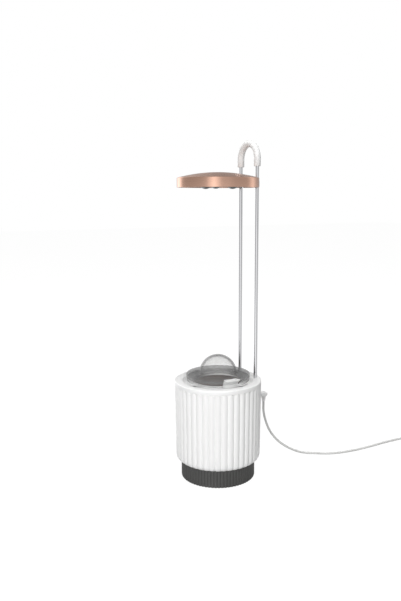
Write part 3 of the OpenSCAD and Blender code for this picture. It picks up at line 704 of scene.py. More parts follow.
def polished_chrome():
    chrome = settings().colours.chrome
    return brushed("polished_chrome", chrome, 0.08, streaks=0.03, lines=1500.0, relief=0.01, anisotropic=0.0)


def brass():
    return brushed("contact_brass", (0.72, 0.52, 0.26), roughness=0.3, anisotropic=0.1)


# ---------------------------------------------------------------- stage


class GardenStage(Operator):
    """Make the floor, the soft studio light and the camera"""

    bl_idname = "garden.stage"
    bl_label = "Stage"
    bl_options = {"REGISTER", "UNDO"}

    def execute(self, context):
        scene = context.scene
        scene.view_settings.view_transform = "Standard"
        self.camera(scene)
        self.floor()
        self.world(scene)
        self.lamp("Key", -42, 20, 18.5)
        self.lamp("Side", -160, 20, 1.5)
        self.lamp("Back", 140, 30, 6.0)
        self.lamp("Top", -30, 84, 55.0, 3.0)
        return {"FINISHED"}

    def camera(self, scene):
        made = bpy.data.cameras.new("Camera")
        made.lens = CAMERA_LENS
        made.sensor_width = 36.0
        made.shift_x = CAMERA_SHIFT
        made.clip_start = 0.01
        camera = bpy.data.objects.new("Camera", made)
        across, back = math.sin(CAMERA_AZIMUTH), -math.cos(CAMERA_AZIMUTH)
        camera.location = (CAMERA_DISTANCE * across, CAMERA_DISTANCE * back, CAMERA_HEIGHT)
        camera.rotation_euler = (math.pi / 2 - CAMERA_PITCH, 0, CAMERA_AZIMUTH)
        scene.collection.objects.link(camera)
        scene.camera = camera

    def lamp(self, name, azimuth, height, power, distance=1.6):
        """A softbox that faces the pot from an azimuth and an angle above the floor, in degrees."""
        made = bpy.data.lights.new(name, "AREA")
        made.shape = "RECTANGLE"
        made.size, made.size_y = 0.7, 0.9
        made.energy = power
        lamp = bpy.data.objects.new(name, made)
        a, b = math.radians(azimuth), math.radians(height)
        away = Vector((math.cos(a) * math.cos(b), math.sin(a) * math.cos(b), math.sin(b)))
        lamp.location = Vector((0, 0, LAMP_AIM)) + distance * away
        lamp.rotation_euler = away.to_track_quat("Z", "Y").to_euler()
        lamp.visible_glossy = False
        bpy.context.scene.collection.objects.link(lamp)

    def floor(self):
        bpy.ops.mesh.primitive_plane_add(size=14, location=(0, 0, 0))
        floor = bpy.context.object
        floor.name = floor.data.name = "Floor"
        made = bpy.data.materials.new("floor_paper")
        made.use_nodes = True
        nodes = Nodes(made.node_tree)
        nodes.tree.nodes.clear()
        paper = nodes.add("ShaderNodeBsdfDiffuse", {"Color": (0.45, 0.45, 0.45, 1)})
        white = (*settings().colours.floor, 1)
        glow = nodes.add("ShaderNodeEmission", {"Color": white, "Strength": FLOOR_GLOW})
        walls = nodes.add("ShaderNodeEmission", {"Strength": self.bands(nodes, "Object")})
        surface = self.surface(nodes, FLOOR_SHARE, paper, walls, glow)
        nodes.add("ShaderNodeOutputMaterial", {"Surface": surface})
        floor.data.materials.append(made)

    def world(self, scene):
        scene.world = bpy.data.worlds.new("Studio")
        scene.world.use_nodes = True
        nodes = Nodes(scene.world.node_tree)
        nodes.tree.nodes.clear()
        plain = nodes.add("ShaderNodeBackground", {"Color": (1, 1, 1, 1), "Strength": PLAIN_LIGHT})
        white = nodes.add("ShaderNodeBackground", {"Color": (*settings().colours.floor, 1), "Strength": 1.0})
        walls = nodes.add("ShaderNodeBackground", {"Strength": self.bands(nodes, "Generated")})
        nodes.add("ShaderNodeOutputWorld", {"Surface": self.surface(nodes, 1.0, plain, walls, white)})

    def surface(self, nodes, most, lit, walls, seen):
        """One shader for the light on the part, with the walls for mirror rays and another for the camera."""
        rays = nodes.add("ShaderNodeLightPath").outputs
        camera = nodes.math("MAXIMUM", rays["Is Camera Ray"], rays["Is Transmission Ray"])
        made = lit.outputs[0]
        for ray, shader in ((rays["Is Glossy Ray"], walls), (camera, seen)):
            share = nodes.math("MULTIPLY", ray, most)
            made = nodes.add("ShaderNodeMixShader", {0: share, 1: made, 2: shader.outputs[0]}).outputs[0]
        return made

    def bands(self, nodes, coordinates):
        """Brightness of the studio's walls as metal mirrors them, by direction from the part."""
        place = nodes.add("ShaderNodeTexCoord").outputs[coordinates]
        turn = nodes.add("ShaderNodeTexGradient", {"Vector": place}, gradient_type="RADIAL").outputs["Fac"]
        stops = [((angle + 180) / 360, value / WALL_PEAK) for angle, value in WALL_BANDS]
        return nodes.math("MULTIPLY", nodes.ramp(turn, stops), WALL_PEAK)


# ---------------------------------------------------------------- USB lead


def smooth_step(x):
    x = min(max(x, 0.0), 1.0)
    return x * x * (3 - 2 * x)


def coil_points(turns, per_turn=16):
    """The coil's centreline: three turns side by side going in, then as many on top going out."""
    points = []
    count = int(round(turns * per_turn))
    for i in range(count + 1):
        t = turns * i / count
        inward = sum(smooth_step((t - w) / 0.25) for w in (0.75, 1.75))
        outward = sum(smooth_step((t - w) / 0.25) for w in (turns - 1.65, turns - 0.65))
        r = COIL_RADIUS - 3.35 * (inward - outward)
        z = 2.35 + 3.3 * smooth_step((t - 2.4) / 0.45)
        a = math.pi - 2 * math.pi * t
        points.append((COIL_CENTRE[0] + r * math.cos(a), COIL_CENTRE[1] + r * math.sin(a), z))
    return points


class GardenLead(Operator):
    """Make the USB lead: plug, strain relief, cord, coil, tie and charger plug"""

    bl_idname = "garden.lead"
    bl_label = "USB lead"
    bl_options = {"REGISTER", "UNDO"}

    def execute(self, context):
        dark_metal = brushed("plug_metal", (0.16, 0.16, 0.17), 0.3, anisotropic=0.2)
        rubber = moulded("tie_rubber", (0.3, 0.3, 0.3), 0.6, relief=0.1)
        tip, body, relief = self.tip(), self.plug(), self.relief()
        tie, charger, blade = self.tie(), self.charger(), self.charger_tip()
        for piece, material, slot, node in (
            (tip, dark_metal, "usb_steel", "usb_tip"),
            (body, white_plastic(), "shell_white", "plug_body"),
            (relief, matt_white(), "shell_white", "strain_relief"),
            (tie, rubber, "tie_grey", "coil_tie"),
            (charger, white_plastic(), "shell_white", "charger_plug"),
            (blade, steel(), "usb_steel", "charger_tip"),
        ):
            place_piece(piece, "usb_plug", material, slot, node)
        self.cord([body, tip, relief, tie, charger, blade])
        return {"FINISHED"}

    def cord(self, pieces):
        """The cord as a curve. Its thickness is on its points, because a curve's box grows by their radius."""
        sizes = settings().lead
        points = LEAD_ROUTE + coil_points(sizes.turns) + LEAD_TAIL
        curve = bpy.data.curves.new("usb_cord", "CURVE")
        curve.dimensions = "3D"
        curve.bevel_depth = 1.0
        curve.bevel_resolution = 5
        curve.use_fill_caps = True
        curve.resolution_u = 6
        spline = curve.splines.new("BEZIER")
        spline.bezier_points.add(len(points) - 1)
        for handle, point in zip(spline.bezier_points, points):
            handle.co = Vector(point) * MM
            handle.handle_left_type = handle.handle_right_type = "AUTO"
            handle.radius = sizes.diameter / 2 * MM
        cord = bpy.data.objects.new("usb_cord", curve)
        bpy.context.scene.collection.objects.link(cord)
        material = moulded("cord_sheath", settings().colours.cord, 0.42, grain=1500.0, relief=0.06)
        place_piece(cord, "usb_plug", material, "cord_grey", "cord_tube", "cord_coil", "cord_tail")
        length = sum(math.dist(a, b) for a, b in zip(points, points[1:])) * MM
        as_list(pieces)

    def tip(self):
        outline = rounded_box(8.25, 2.4, 1.15)
        shell = swept_outline("usb_plug_tip", outline, at_socket, [(53.35, 0.25), (53.6, 0), (60.3, 0)])
        slot = swept_outline("slot", rounded_box(7.2, 1.2, 0.5), at_socket, [(52, 0), (58.6, 0)])
        return carve(shell, [slot])

    def plug(self):
        outline = rounded_box(10.5, 6.2, 2.4, 8)
        depth = [(60.3, 0.35), (60.42, 0.12), (60.65, 0), (78.4, 0), (79.6, 0.25), (80.4, 0.8), (80.8, 1.5)]
        body = swept_outline("usb_plug_body", outline, at_socket, depth, 30)
        groove = rounded_box(0.5, 3.4, 0.24, 3)
        grips = [
            swept_outline("grip", groove, facing_x(66.5 + 1.5 * k, SOCKET_HEIGHT),
                          [(side * 5.02, 0), (side * 5.6, 0)])
            for k in range(4) for side in (-1, 1)
        ]
        return carve(body, grips, smooth_angle=30)

    def relief(self):
        profile = [(0, 101.9), (3.4, 101.9), (3.4, 101.2)]
        for k in range(5):
            z = 100.7 - k * 1.4
            r = 3.25 - k * 0.21
            profile += [(r, z), (r, z - 0.75), (r - 0.42, z - 0.85), (r - 0.46, z - 1.3)]
        profile += [(2.12, 93.9), (0, 93.9)]
        relief = turned("strain_relief_sleeve", profile, 40)
        relief.data.transform(Matrix.Translation((0, RELIEF_Y * MM, 0)))
        return relief

    def tie(self):
        """A band round the coil: at each point of its outline, a section that goes out and comes back."""
        low, high = node_box("coil_tie")
        middle = (low + high) / 2
        wide, tall, thick, rounding = high.y - low.y, high.z - low.z, 1.2, 0.25 / 6
        across = [(low.x, rounding), (low.x + 0.3, 0), (high.x - 0.3, 0), (high.x, rounding)]
        sections = []
        for out, back in zip(rounded_box(wide, tall, 2.0, 6), rounded_box(wide - thick, tall - thick, 1.5, 6)):
            section = [(x, out, 1 - shrink) for x, shrink in across]
            section += [(x, back, 1 + shrink) for x, shrink in reversed(across)]
            sections.append([(x, middle.y + p[0] * f, middle.z + p[1] * f) for x, p, f in section])
        return skin("coil_band", sections, loop=True, capped=False)

    def charger(self):
        low, high = node_box("charger_plug")
        y, z = (low.y + high.y) / 2, (low.z + high.z) / 2
        start = low.x + 6
        depth = [(start, 0.9), (start + 0.5, 0.35), (start + 1.3, 0), (high.x - 0.5, 0), (high.x, 0.4)]
        body = swept_outline("charger_plug_body", rounded_box(12.5, 7.0, 1.6, 6), facing_x(y, z), depth, 30)
        neck = rod_between("neck", (low.x, y, z), (start + 1, y, z), 2.1, 3.2)
        return join_pieces([body, neck], "charger_plug_body")

    def charger_tip(self):
        low, high = node_box("charger_tip")
        y, z = (low.y + high.y) / 2, (low.z + high.z) / 2
        shell = swept_outline("charger_plug_tip", rounded_box(12, 4.5, 0.3, 3), facing_x(y, z),
                              [(low.x, 0), (high.x - 0.2, 0), (high.x, 0.15)])
        mouth = swept_outline("mouth", rounded_box(11.2, 1.9, 0.1, 2), facing_x(y, z - 0.9),
                              [(low.x + 1.5, 0), (high.x + 1, 0)])
        square = rounded_box(2, 2, 0.2, 2)
        holes = [
            swept_outline("hole", square, lambda a, b, d, k=k: (low.x + 6.5 + a, y + k + b, d),
                          [(z + 1.9, 0), (z + 3, 0)])
            for k in (-2.8, 2.8)
        ]
        return carve(shell, [mouth, *holes])


# ---------------------------------------------------------------- base


class GardenBase(Operator):
    """Make the fluted shell, the collar with its recess, and the ribbed foot"""

    bl_idname = "garden.base"
    bl_label = "Base"
    bl_options = {"REGISTER", "UNDO"}

    def execute(self, context):
        place_piece(self.shell(), "base", white_plastic(), "shell_white", "outer_shell")
        place_piece(self.collar(), "base", white_plastic(), "shell_white", "top_collar")
        place_piece(self.foot(), "base", dark_plastic(), "foot_grey", "foot_ring")
        # The tank is painted lighter than the white plastic: painted light where its inside lies in shade.
        finish_node("reservoir", tank_white())
        finish_node("tank_seal", moulded("seal_rubber", (0.02, 0.02, 0.02), 0.6))
        finish_node("bottom_cover", dark_plastic(), 0.3)
        finish_node("foot_pads", moulded("pad_rubber", (0.03, 0.03, 0.03), 0.75, relief=0.2), 0.4)
        finish_node("cover_screws", steel())
        return {"FINISHED"}

    def shell(self):
        base = settings().base
        r, low_r, h, foot = base.radius, base.foot_end_radius, base.height, base.foot_height
        top, band_low = h - SPLIT_HEIGHT, h - base.band
        bend, arch, wall, step = 8.0, 4.4, 2.6, 0.35
        columns = base.flutes * 14
        outer = [(r, top), (r, band_low + 0.25), (r - 0.02, band_low + 0.1), (r - 0.04, band_low - 0.05)]
        z = band_low - step
        while z > band_low - arch - 0.4:
            outer.append((r, z))
            z -= step
        straight_low = foot + bend
        for k in range(1, 9):
            outer.append((r, z + (straight_low - z) * k / 8))
        for k in range(1, 8):
            a = math.radians(90 * k / 8)
            outer.append((r - bend * (1 - math.cos(a)), straight_low - bend * math.sin(a)))
        inner = [(r - bend - 0.3, foot), (41.0, foot), (41.0, foot + 3), (r - bend, foot + 3),
                 (r - 2.9, foot + 10), (r - wall, foot + 14), (r - wall, top)]

        def shape(a, radius, height):
            """Leans the outer wall inwards, and cuts grooves that end in arches below the plain band."""
            if radius < r - bend - 0.2 or (radius < r - 2.5 and height > foot + 2.5):
                return radius, height
            lean = (r - low_r) * min(1.0, (h - height) / (h - foot))
            here = (a * base.flutes / (2 * math.pi)) % 1.0
            t = abs(2 * here - 1.0)
            below = band_low - height
            if below <= 0.12:
                depth = 0.0
            elif below < arch:
                width = math.sqrt(max(0.0, 1 - ((arch - below) / arch) ** 2))
                depth = 1.0 if t >= width else (t / max(width, 1e-3)) ** 2
            else:
                depth = t ** 2
            fade = min(1.0, max(0.0, (height - foot) / 2.0)) * 0.5 + 0.5
            return radius - lean - base.flute_depth * depth * fade, height

        shell = turned("fluted_shell", outer + inner, columns, shape, smooth_angle=50)
        pad = swept_outline("pad", rounded_box(16, 10, 2, 6), at_socket, [(54.5, 0), (59.7, 0), (60, 0.3)])
        mouth = swept_outline("mouth", rounded_box(9.6, 3.8, 1.8, 6), at_socket, [(50, 0), (63, 0)])
        carve(shell, [pad], "UNION", 50)
        return carve(shell, [mouth], "DIFFERENCE", 50)

    def collar(self):
        """The flat rim and sloping recess, with a notch for the port, two finger scoops and the rods' holes."""
        base, pot = settings().base, settings().pot
        r, h = base.radius, base.height
        split = h - SPLIT_HEIGHT
        profile = filleted([
            (38.5, h - 7.6, 0.3), (38.5, h - 5, 0.5), (45.7, h - 5, 0.6), (48.75, h, 0.7), (r, h, 1.1),
            (r, split, 0), (57.2, split, 0), (57.2, h - 5.6, 0), (47.5, h - 5.6, 0), (46, h - 7.6, 0)], 5)
        collar = turned("rim_collar", profile, 256)
        cutters = [wedge("notch", 37.5, 42.5, h - 9, h - 3.5, pot.port_turn, pot.port_half)]
        cutters += [wedge("scoop", 44.7, 48.6, h - 5, h + 1, turn, 15) for turn in (25, 205)]
        for x in (-ROD_X, ROD_X):
            cutters.append(rod_between("hole", (x, ROD_Y, h - 8), (x, ROD_Y, h + 1), 2.56, columns=40))
        return carve(collar, cutters)

    def foot(self):
        base = settings().base
        r, h = base.foot_radius, base.foot_height
        rib_depth = 0.95
        profile = [(r, h), (r, h - 1.2), (r, h - 2), (r, 4.0), (r, 2.0), (r - 0.1, 1.2), (r - 0.4, 0.7),
                   (r - 1.0, 0.5), (48, 0.5), (48, h)]

        def shape(a, radius, height):
            if radius < r - 1.1 or height > h - 1.0:
                return radius, height
            here = (a * base.ribs / (2 * math.pi)) % 1.0
            t = abs(2 * here - 1.0)
            return radius - rib_depth * t ** 2.4, height

        return turned("ribbed_foot", profile, base.ribs * 10, shape, smooth_angle=50)


class GardenPower(Operator):
    """Give the board, socket, contacts and wires in the base their finishes"""

    bl_idname = "garden.power"
    bl_label = "Board and wires"
    bl_options = {"REGISTER", "UNDO"}

    def execute(self, context):
        board = moulded("board_green", (0.03, 0.14, 0.06), 0.35, grain=700.0, relief=0.08, mottling=0.2)
        chips = moulded("chip_black", (0.02, 0.02, 0.022), 0.45, relief=0.06)
        finish_node("control_board", board)
        finish_node("board_parts", chips)
        finish_node("board_screws", steel())
        finish_node("usb_socket", brushed("socket_metal", (0.3, 0.3, 0.31), 0.3, anisotropic=0.2))
        for node in ("rod_socket_left", "rod_socket_right"):
            finish_node(node, brass())
        finish_node("wire_plus", red_wire())
        finish_node("wire_minus", moulded("wire_black", (0.02, 0.02, 0.02), 0.45))
        return {"FINISHED"}


class GardenRods(Operator):
    """Finish the two rods and make the handle on top of them"""

    bl_idname = "garden.rods"
    bl_label = "Rods and handle"
    bl_options = {"REGISTER", "UNDO"}

    def execute(self, context):
        for node in ("rod_left", "rod_right"):
            finish_node(node, polished_chrome())
        # The handle takes the darker copy of the white plastic as painted shade.
        place_piece(self.handle(), "base", shaded_handle_white(), "shell_white", "top_handle")
        return {"FINISHED"}

    def handle(self):
        """A bent tube whose ends are rounded and bored for the rods."""
        columns, r, bore, bend_steps = 48, 4.5, 2.53, 40
        across = Vector((0, 1, 0))

        def leg(x, up):
            """Sections of one end, from inside its bore round its edge and up its outside."""
            rises = [(8, 0.01), (8, bore), (0.3, bore), (0, bore + 0.25), (0, r - 0.7), (0.2, r - 0.25),
                     (0.7, r), (9.9, r)]
            return [(Vector((x, ROD_Y, HANDLE_FOOT + rise)), up, radius) for rise, radius in rises]

        path = leg(ROD_X, Vector((0, 0, 1)))
        for k in range(bend_steps + 1):
            a = math.pi * k / bend_steps
            centre = Vector((ROD_X * math.cos(a), ROD_Y, HANDLE_BEND + ROD_X * math.sin(a)))
            path.append((centre, Vector((-math.sin(a), 0, math.cos(a))), r))
        path += reversed(leg(-ROD_X, Vector((0, 0, -1))))
        sections = [circle(centre, across, up.cross(across), radius, columns) for centre, up, radius in path]
        return skin("grip_handle", sections, 50, capped=False)


# ---------------------------------------------------------------- pot, medium, ring and lid


class GardenPot(Operator):
    """Make the pot with its ears, port wall and slots, the tube and the wick"""

    bl_idname = "garden.pot"
    bl_label = "Pot"
    bl_options = {"REGISTER", "UNDO"}

    def execute(self, context):
        place_piece(self.pot(), "pot", white_plastic(), "shell_white", "grow_pot")
        # The tube is painted lighter than the white plastic: painted light where it hangs in the pot's shadow.
        place_piece(self.tube(), "pot", tank_white(), "shell_white", "wick_tube")
        fibre = moulded("wick_fibre", (0.62, 0.56, 0.44), 0.9, grain=900.0, relief=0.5, mottling=0.3)
        finish_node("wick", fibre)
        return {"FINISHED"}

    def pot(self):
        pot = settings().pot
        r, low_r, low, rim, wall = pot.radius, pot.low_radius, POT_LOW.z, pot.rim, pot.wall
        profile = filleted([
            (FEED_HOLE, low, 0), (low_r, low, 1.8), (r, rim, 0.5), (r - wall, rim, 0.5),
            (low_r - wall, low + 2, 1.0), (FEED_HOLE, low + 2, 0)], 5)
        body = turned("grow_pot_cup", profile, 192)
        slots, slot_height, wide, narrow = [], 32.5, 0.42, 0.22
        for turn in (-51, 39, 129, 219):
            a = math.radians(turn)
            across, out = Vector((-math.sin(a), math.cos(a), 0)), Vector((math.cos(a), math.sin(a), 0))

            def place(x, z, d, across=across, out=out):
                p = across * x + out * d
                return (p.x, p.y, z)

            top = low + slot_height
            outline = filleted(
                [(-wide, low - 1, 0), (wide, low - 1, 0), (narrow, top, 0.2), (-narrow, top, 0.2)], 4
            )
            slots.append(swept_outline("slot", outline, place, [(26.4, 0), (37, 0)]))
        carve(body, slots)
        ears = [self.ear(turn) for turn in (60, 240)]
        line = softened(wedge("line", 33.9, 35.1, 114.4, 115.4, -5, 14), 0.2, 2)
        return join_pieces([body, *ears, self.port(), line], "grow_pot_cup")

    def ear(self, turn):
        """A lip that swells out of the rim for the fingers, widest at its middle."""
        pot = settings().pot
        reach, half, columns = 41.7 - pot.radius, 42, 36
        back = pot.radius - 0.8
        sections = []
        for c in range(columns + 1):
            f = 2 * c / columns - 1
            a = math.radians(turn + half * f)
            out = pot.radius + max(reach * min(1.0, 1.35 * math.cos(math.pi / 2 * f) ** 0.8), 0.02)
            low = pot.rim - 5 + 2.6 * abs(f) ** 3
            section = filleted([(back, low, 0), (out, low, 0.7), (out, pot.rim, 1.0), (back, pot.rim, 0)], 4)
            sections.append([polar(r, a, z) for r, z in section])
        return skin("ear", sections)

    def port(self):
        """The watering port: a flared lip with sloping ends, open at its top and down the pot's wall."""
        pot = settings().pot
        wall, lip, lean = pot.radius, 1.4, 4.0
        low, top = pot.rim - 3.5, POT_HIGH.z
        spread = pot.ring_radius - wall

        def flare(inset, steps=14):
            """The lip's side, which curves outwards as it rises."""
            heights = [(k / steps, low + (top - 0.6 - low) * k / steps) for k in range(steps + 1)]
            return [(wall - 0.1 + (spread + 0.1) * f ** 2 - inset, z) for f, z in heights]

        def upright(r, start, steps=8):
            """Points down a wall from the top, so that its ends can lean."""
            return [(r, start + (top - start) * k / steps) for k in range(steps, 0, -1)]

        def fan(name, profile, inset):
            """A profile turned round the pot whose two ends lean inwards as they rise."""
            columns, rise_low = 40, pot.rim - 1.2
            sections = []
            for c in range(columns + 1):
                section = []
                for r, z in profile:
                    risen = min(1.0, max(0.0, (z - rise_low) / (top - rise_low)))
                    half = pot.port_half - lean * risen - math.degrees(inset / r)
                    section.append(polar(r, math.radians(pot.port_turn + half * (2 * c / columns - 1)), z))
                sections.append(section)
            return skin(name, sections)

        back = wall - pot.wall + 0.1
        port = fan("port", [(back, low), *flare(0), (pot.ring_radius, top), *upright(back, low)], 0)
        inner = [(r, z) for r, z in flare(lip) if r > wall + 0.05]
        floor = inner[0][1]
        room = [(wall, floor), *inner, (inner[-1][0] + 0.3, top + 1), (wall, top + 1), *upright(wall, floor)]
        hollow = fan("hollow", room, lip)
        drain = wedge("drain", wall, wall + lip, low - 1, floor + 1.5, pot.port_turn, pot.port_half - 5)
        return softened(carve(port, [hollow, drain]), 0.3, 2, 40)

    def tube(self):
        low, top = TUBE_LOW.z, TUBE_HIGH.z
        profile = filleted([
            (1.5, low, 0.2), (2.5, low, 0.5), (6.3, low + 3.4, 1.2), (6.3, top - 1.5, 0.4),
            (9, top - 1.5, 0.3), (9, top, 0.3), (4.9, top, 0.3), (4.9, low + 3.4, 0.5)], 4)
        return turned("feed_tube", profile, 64)


class GardenMedium(Operator):
    """Make the block of growing medium"""

    bl_idname = "garden.medium"
    bl_label = "Growing medium"
    bl_options = {"REGISTER", "UNDO"}

    def execute(self, context):
        pot = settings().pot
        low, high = MEDIUM_LOW.z, MEDIUM_HIGH.z
        high_r = MEDIUM_HIGH.x
        low_r = high_r - (high - low) * (pot.radius - pot.low_radius) / (pot.rim - POT_LOW.z)
        profile = [(0, high)]
        for k in range(1, 22):
            profile.append(((high_r - 1.0) * k / 21, high))
        profile += [(high_r - 0.3, high - 0.25), (high_r - 0.03, high - 0.9)]
        for k in range(1, 48):
            f = k / 48
            profile.append((high_r + (low_r - high_r) * f, high - (high - low) * f))
        profile += [(low_r - 0.05, low + 0.5), (low_r - 0.6, low), (low_r / 2, low), (0, low)]
        block = turned("coir_block", profile, 200, closed=False)
        for vertex in block.data.vertices:
            p = vertex.co / MM
            coarse = noise.noise(Vector((p.x * 0.28, p.y * 0.28, p.z * 0.28)))
            fine = noise.noise(Vector((p.x * 1.1, p.y * 1.1, p.z * 1.1)))
            sink = min(0.75, max(0.0, 0.34 - 0.5 * coarse - 0.32 * fine))
            side = Vector((p.x, p.y, 0))
            if side.length > low_r - 2.5 and low + 0.4 < p.z < high - 0.1:
                p -= side.normalized() * sink
            elif p.z > high - 0.2:
                p.z -= sink * 1.3
            vertex.co = p * MM
        block.data.update()
        strands = self.strands(low, high, low_r, high_r)
        place_piece(join_pieces([block, strands], "coir_block"), "medium", coir(), "coir", "growing_medium")
        return {"FINISHED"}

    def strands(self, low, high, low_r, high_r):
        """Short loose fibres that lie on the block's side and top."""
        chance = random.Random(11)
        points, faces = [], []
        for k in range(420):
            length = chance.uniform(2.5, 7.0)
            half = chance.uniform(0.05, 0.11)
            top = k % 4 == 0
            if top:
                a, r = chance.uniform(0, 2 * math.pi), (high_r - 6) * math.sqrt(chance.random())
                start = Vector((r * math.cos(a), r * math.sin(a), high - 0.35))
                b = chance.uniform(0, 2 * math.pi)
                way = Vector((math.cos(b), math.sin(b), 0))
            else:
                a, f = chance.uniform(0, 2 * math.pi), chance.uniform(0.03, 0.97)
                start = Vector((a, high - (high - low) * f, 0))
                b = chance.uniform(-1.2, 1.2)
                way = Vector((math.cos(b), math.sin(b), 0))
            curl = chance.uniform(-0.25, 0.25)
            first = len(points)
            for s in range(5):
                d = length * (s / 4 - 0.5)
                bent = way * d + Vector((-way.y, way.x, 0)) * curl * d * d / length
                if top:
                    p = start + bent
                    p.z = high - 0.4 + 0.15 * math.sin(s * 1.6 + k)
                    up, wide = Vector((0, 0, 1)), Vector((-way.y, way.x, 0))
                else:
                    z = min(max(start.y + bent.y, low + 0.6), high - 0.9)
                    r = high_r + (low_r - high_r) * (high - z) / (high - low)
                    r += 0.12 * math.sin(s * 1.9 + k) - 0.22
                    angle = start.x + bent.x / r
                    p = Vector((r * math.cos(angle), r * math.sin(angle), z))
                    up = Vector((math.cos(angle), math.sin(angle), 0))
                    wide = Vector((-math.sin(angle) * -way.y, math.cos(angle) * -way.y, way.x))
                wide = wide.normalized() * half
                for q in (p + wide, p + up * half, p - wide, p - up * half):
                    points.append(tuple(q))
            faces += skin_faces(5, 4, first)
        return new_piece("strands", points, faces)


def port_notch(low_z, high_z):
    """The cutter that makes room for the watering port in the ring and the lid."""
    pot = settings().pot
    return wedge("notch", pot.radius - pot.wall - 0.3, pot.lid_radius + 3, low_z, high_z, pot.port_turn,
                 pot.port_half + 1, 30)


class GardenLid(Operator):
    """Make the clear ring and the clear domed lid"""

    bl_idname = "garden.lid"
    bl_label = "Ring and lid"
    bl_options = {"REGISTER", "UNDO"}

    def execute(self, context):
        clear = clear_plastic()
        pot = settings().pot
        place_piece(self.plate_ring(pot), "ring", clear, "clear_plastic", "lid_ring")
        place_piece(self.lid(pot), "lid", clear, "clear_plastic", "clear_lid")
        return {"FINISHED"}

    def plate_ring(self, pot):
        r, hole, low, high = pot.ring_radius, pot.ring_hole, RING_LOW.z, RING_HIGH.z
        profile = filleted([(hole, low, 0.4), (r, low, 0.5), (r, high, 0.5), (hole, high, 0.4)], 3)
        ring = turned("clear_ring", profile, 256)
        carve(ring, [port_notch(low - 1, high + 1)])
        return softened(ring, 0.25, 2, 50)

    def lid(self, pot):
        r, low, dome = pot.lid_radius, LID_LOW.z, pot.dome_radius
        plate = RING_HIGH.z - RING_LOW.z
        inner = dome - 1.5
        middle = LID_HIGH.z - dome
        foot = 0.9
        profile = filleted(
            [(inner, low, 0.4), (r, low, 0.5), (r, low + plate, 0.5), (dome + foot, low + plate, 0)], 3
        )
        for k in range(1, 4):
            a = math.radians(22.5 * k)
            profile.append((dome + foot * (1 - math.sin(a)), low + plate + foot * (1 - math.cos(a))))
        steps = 30
        for k in range(1, steps + 1):
            a = math.pi / 2 * k / steps
            profile.append((dome * math.cos(a), middle + dome * math.sin(a)))
        for k in range(steps, 0, -1):
            a = math.pi / 2 * k / steps
            profile.append((inner * math.cos(a), middle + inner * math.sin(a)))
        profile.append((inner, middle))
        lid = turned("domed_lid", profile, 256)
        carve(lid, [port_notch(low - 1, low + plate + 1)])
        return softened(lid, 0.25, 2, 50)


# ---------------------------------------------------------------- lamp


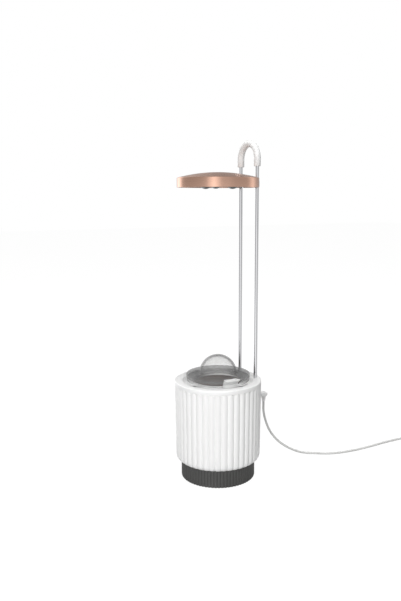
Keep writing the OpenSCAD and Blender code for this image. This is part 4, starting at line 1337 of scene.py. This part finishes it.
class GardenLamp(Operator):
    """Make the lamp head and finish what it holds"""

    bl_idname = "garden.lamp"
    bl_label = "Lamp"
    bl_options = {"REGISTER", "UNDO"}

    def execute(self, context):
        colours = settings().colours
        copper = brushed("brushed_copper", colours.copper, 0.26, 0.1, 5200.0, 0.05, 0.75)
        place_piece(self.head(), "lamp", copper, "lamp_copper", "lamp_housing")
        place_piece(self.lenses(), "lamp", smoked_lens(), "lens_grey", "led_lenses")
        finish_node("lamp_plate", moulded("lamp_under", (0.16, 0.16, 0.16), 0.5, relief=0.1), 0.2)
        finish_node("led_board", moulded("led_board", (0.75, 0.76, 0.74), 0.4))
        finish_node("led_chips", moulded("led_chips", (0.85, 0.65, 0.18), 0.3))
        finish_node("heat_spreader", brushed("spreader_metal", (0.75, 0.76, 0.77), 0.35))
        for node in ("spreader_screws", "plate_screws"):
            finish_node(node, steel())
        finish_node("contact_springs", brass())
        finish_node("rod_clips", polished_chrome())
        finish_node("lamp_wires", red_wire())
        return {"FINISHED"}

    def head(self):
        lamp = settings().lamp
        r, low, rim, dome = lamp.radius, LAMP_LOW.z, lamp.rim, lamp.dome
        top = low + rim

        def outline(depth, low_z, steps=28):
            """Half of the head's section, or of its hollow at a depth under the surface."""
            if depth:
                out = [(0, low_z), (r - depth, low_z), (r - depth, top - depth)]
            else:
                out = [(0, low_z), (r - 0.5, low_z), (r - 0.15, low_z + 0.12), (r, low_z + 0.5),
                       (r, top - 0.9), (r - 0.06, top - 0.45), (r - 0.3, top - 0.1)]
            for k in range(1, steps + 1):
                q = (r - depth) * (1 - k / steps)
                out.append((q, top - depth + dome * (1 - (q / r) ** 2)))
            return out

        body = turned("lamp_head_shell", outline(0, low), 256, smooth_angle=30)
        hollow = turned("hollow", outline(1.6, low - 1), 128, smooth_angle=30)
        slot, wall, steps = 3.36, 1.2, 24

        def notch(grow, low_z, high_z):
            """Two upright cutters, open backwards, that let the head slip onto the rods."""
            made = []
            for x in (-ROD_X, ROD_X):
                w = slot + grow
                side = [(x + w, 70), (x - w, 70)]
                for k in range(steps + 1):
                    a = math.pi + math.pi * k / steps
                    side.append((x + w * math.cos(a), ROD_Y + w * math.sin(a)))
                made.append(swept_outline("notch", side, lambda x, y, d: (x, y, d), [(low_z, 0), (high_z, 0)]))
            return made

        carve(hollow, notch(wall, PLATE_HIGH.z, top + 20))
        carve(body, [hollow], smooth_angle=30)
        return carve(body, notch(0, low - 2, top + 20), smooth_angle=30)

    def lenses(self):
        """Three bulging lenses with flat flanges, on a circle."""
        low, flange = LENS_LOW.z, LENS_HIGH.z - 0.8
        r, bulge, circle_r, steps = 6.6, 2.4, 21.1, 14
        profile = [(r * s / steps, low + bulge * (s / steps) ** 2) for s in range(steps + 1)]
        profile += [(r, flange), (8, flange), (8, LENS_HIGH.z), (0, LENS_HIGH.z)]
        made = []
        for turn in (82, 202, 322):
            a = math.radians(turn)
            lens = turned("lens", profile, 48, closed=False)
            lens.data.transform(Matrix.Translation((circle_r * math.cos(a) * MM, circle_r * math.sin(a) * MM, 0)))
            made.append(lens)
        return join_pieces(made, "light_lenses")


# ---------------------------------------------------------------- panel


class GardenPanel(Panel):
    """Lists the garden's pieces and sizes in the sidebar"""

    bl_idname = "VIEW3D_PT_garden"
    bl_label = "Hydroponic garden"
    bl_space_type = "VIEW_3D"
    bl_region_type = "UI"
    bl_category = "Garden"

    def draw(self, context):
        layout = self.layout
        garden = context.scene.garden
        for group_name in ("base", "pot", "lamp", "lead", "colours"):
            box = layout.box()
            box.label(text=group_name.capitalize())
            sizes = getattr(garden, group_name)
            for key in sizes.bl_rna.properties.keys():
                if key not in ("rna_type", "name"):
                    box.prop(sizes, key)
        for operator in OPERATORS:
            layout.operator(operator.bl_idname)


OPERATORS = (GardenStage, GardenLead, GardenBase, GardenPower, GardenRods, GardenPot, GardenMedium, GardenLid,
             GardenLamp)
CLASSES = (GardenBaseSizes, GardenPotSizes, GardenLampSizes, GardenLeadSizes, GardenColours, GardenSettings,
           *OPERATORS, GardenPanel)


def register():
    for made in CLASSES:
        bpy.utils.register_class(made)
    bpy.types.Scene.garden = PointerProperty(type=GardenSettings)


def unregister():
    del bpy.types.Scene.garden
    for made in reversed(CLASSES):
        bpy.utils.unregister_class(made)


def main():
    """Makes every piece in order."""
    register()
    bpy.ops.garden.stage()
    bpy.ops.garden.lead()
    bpy.ops.garden.base()
    bpy.ops.garden.power()
    bpy.ops.garden.rods()
    bpy.ops.garden.pot()
    bpy.ops.garden.medium()
    bpy.ops.garden.lid()
    bpy.ops.garden.lamp()
    bpy.context.view_layer.update()


if __name__ == "__main__":
    main()
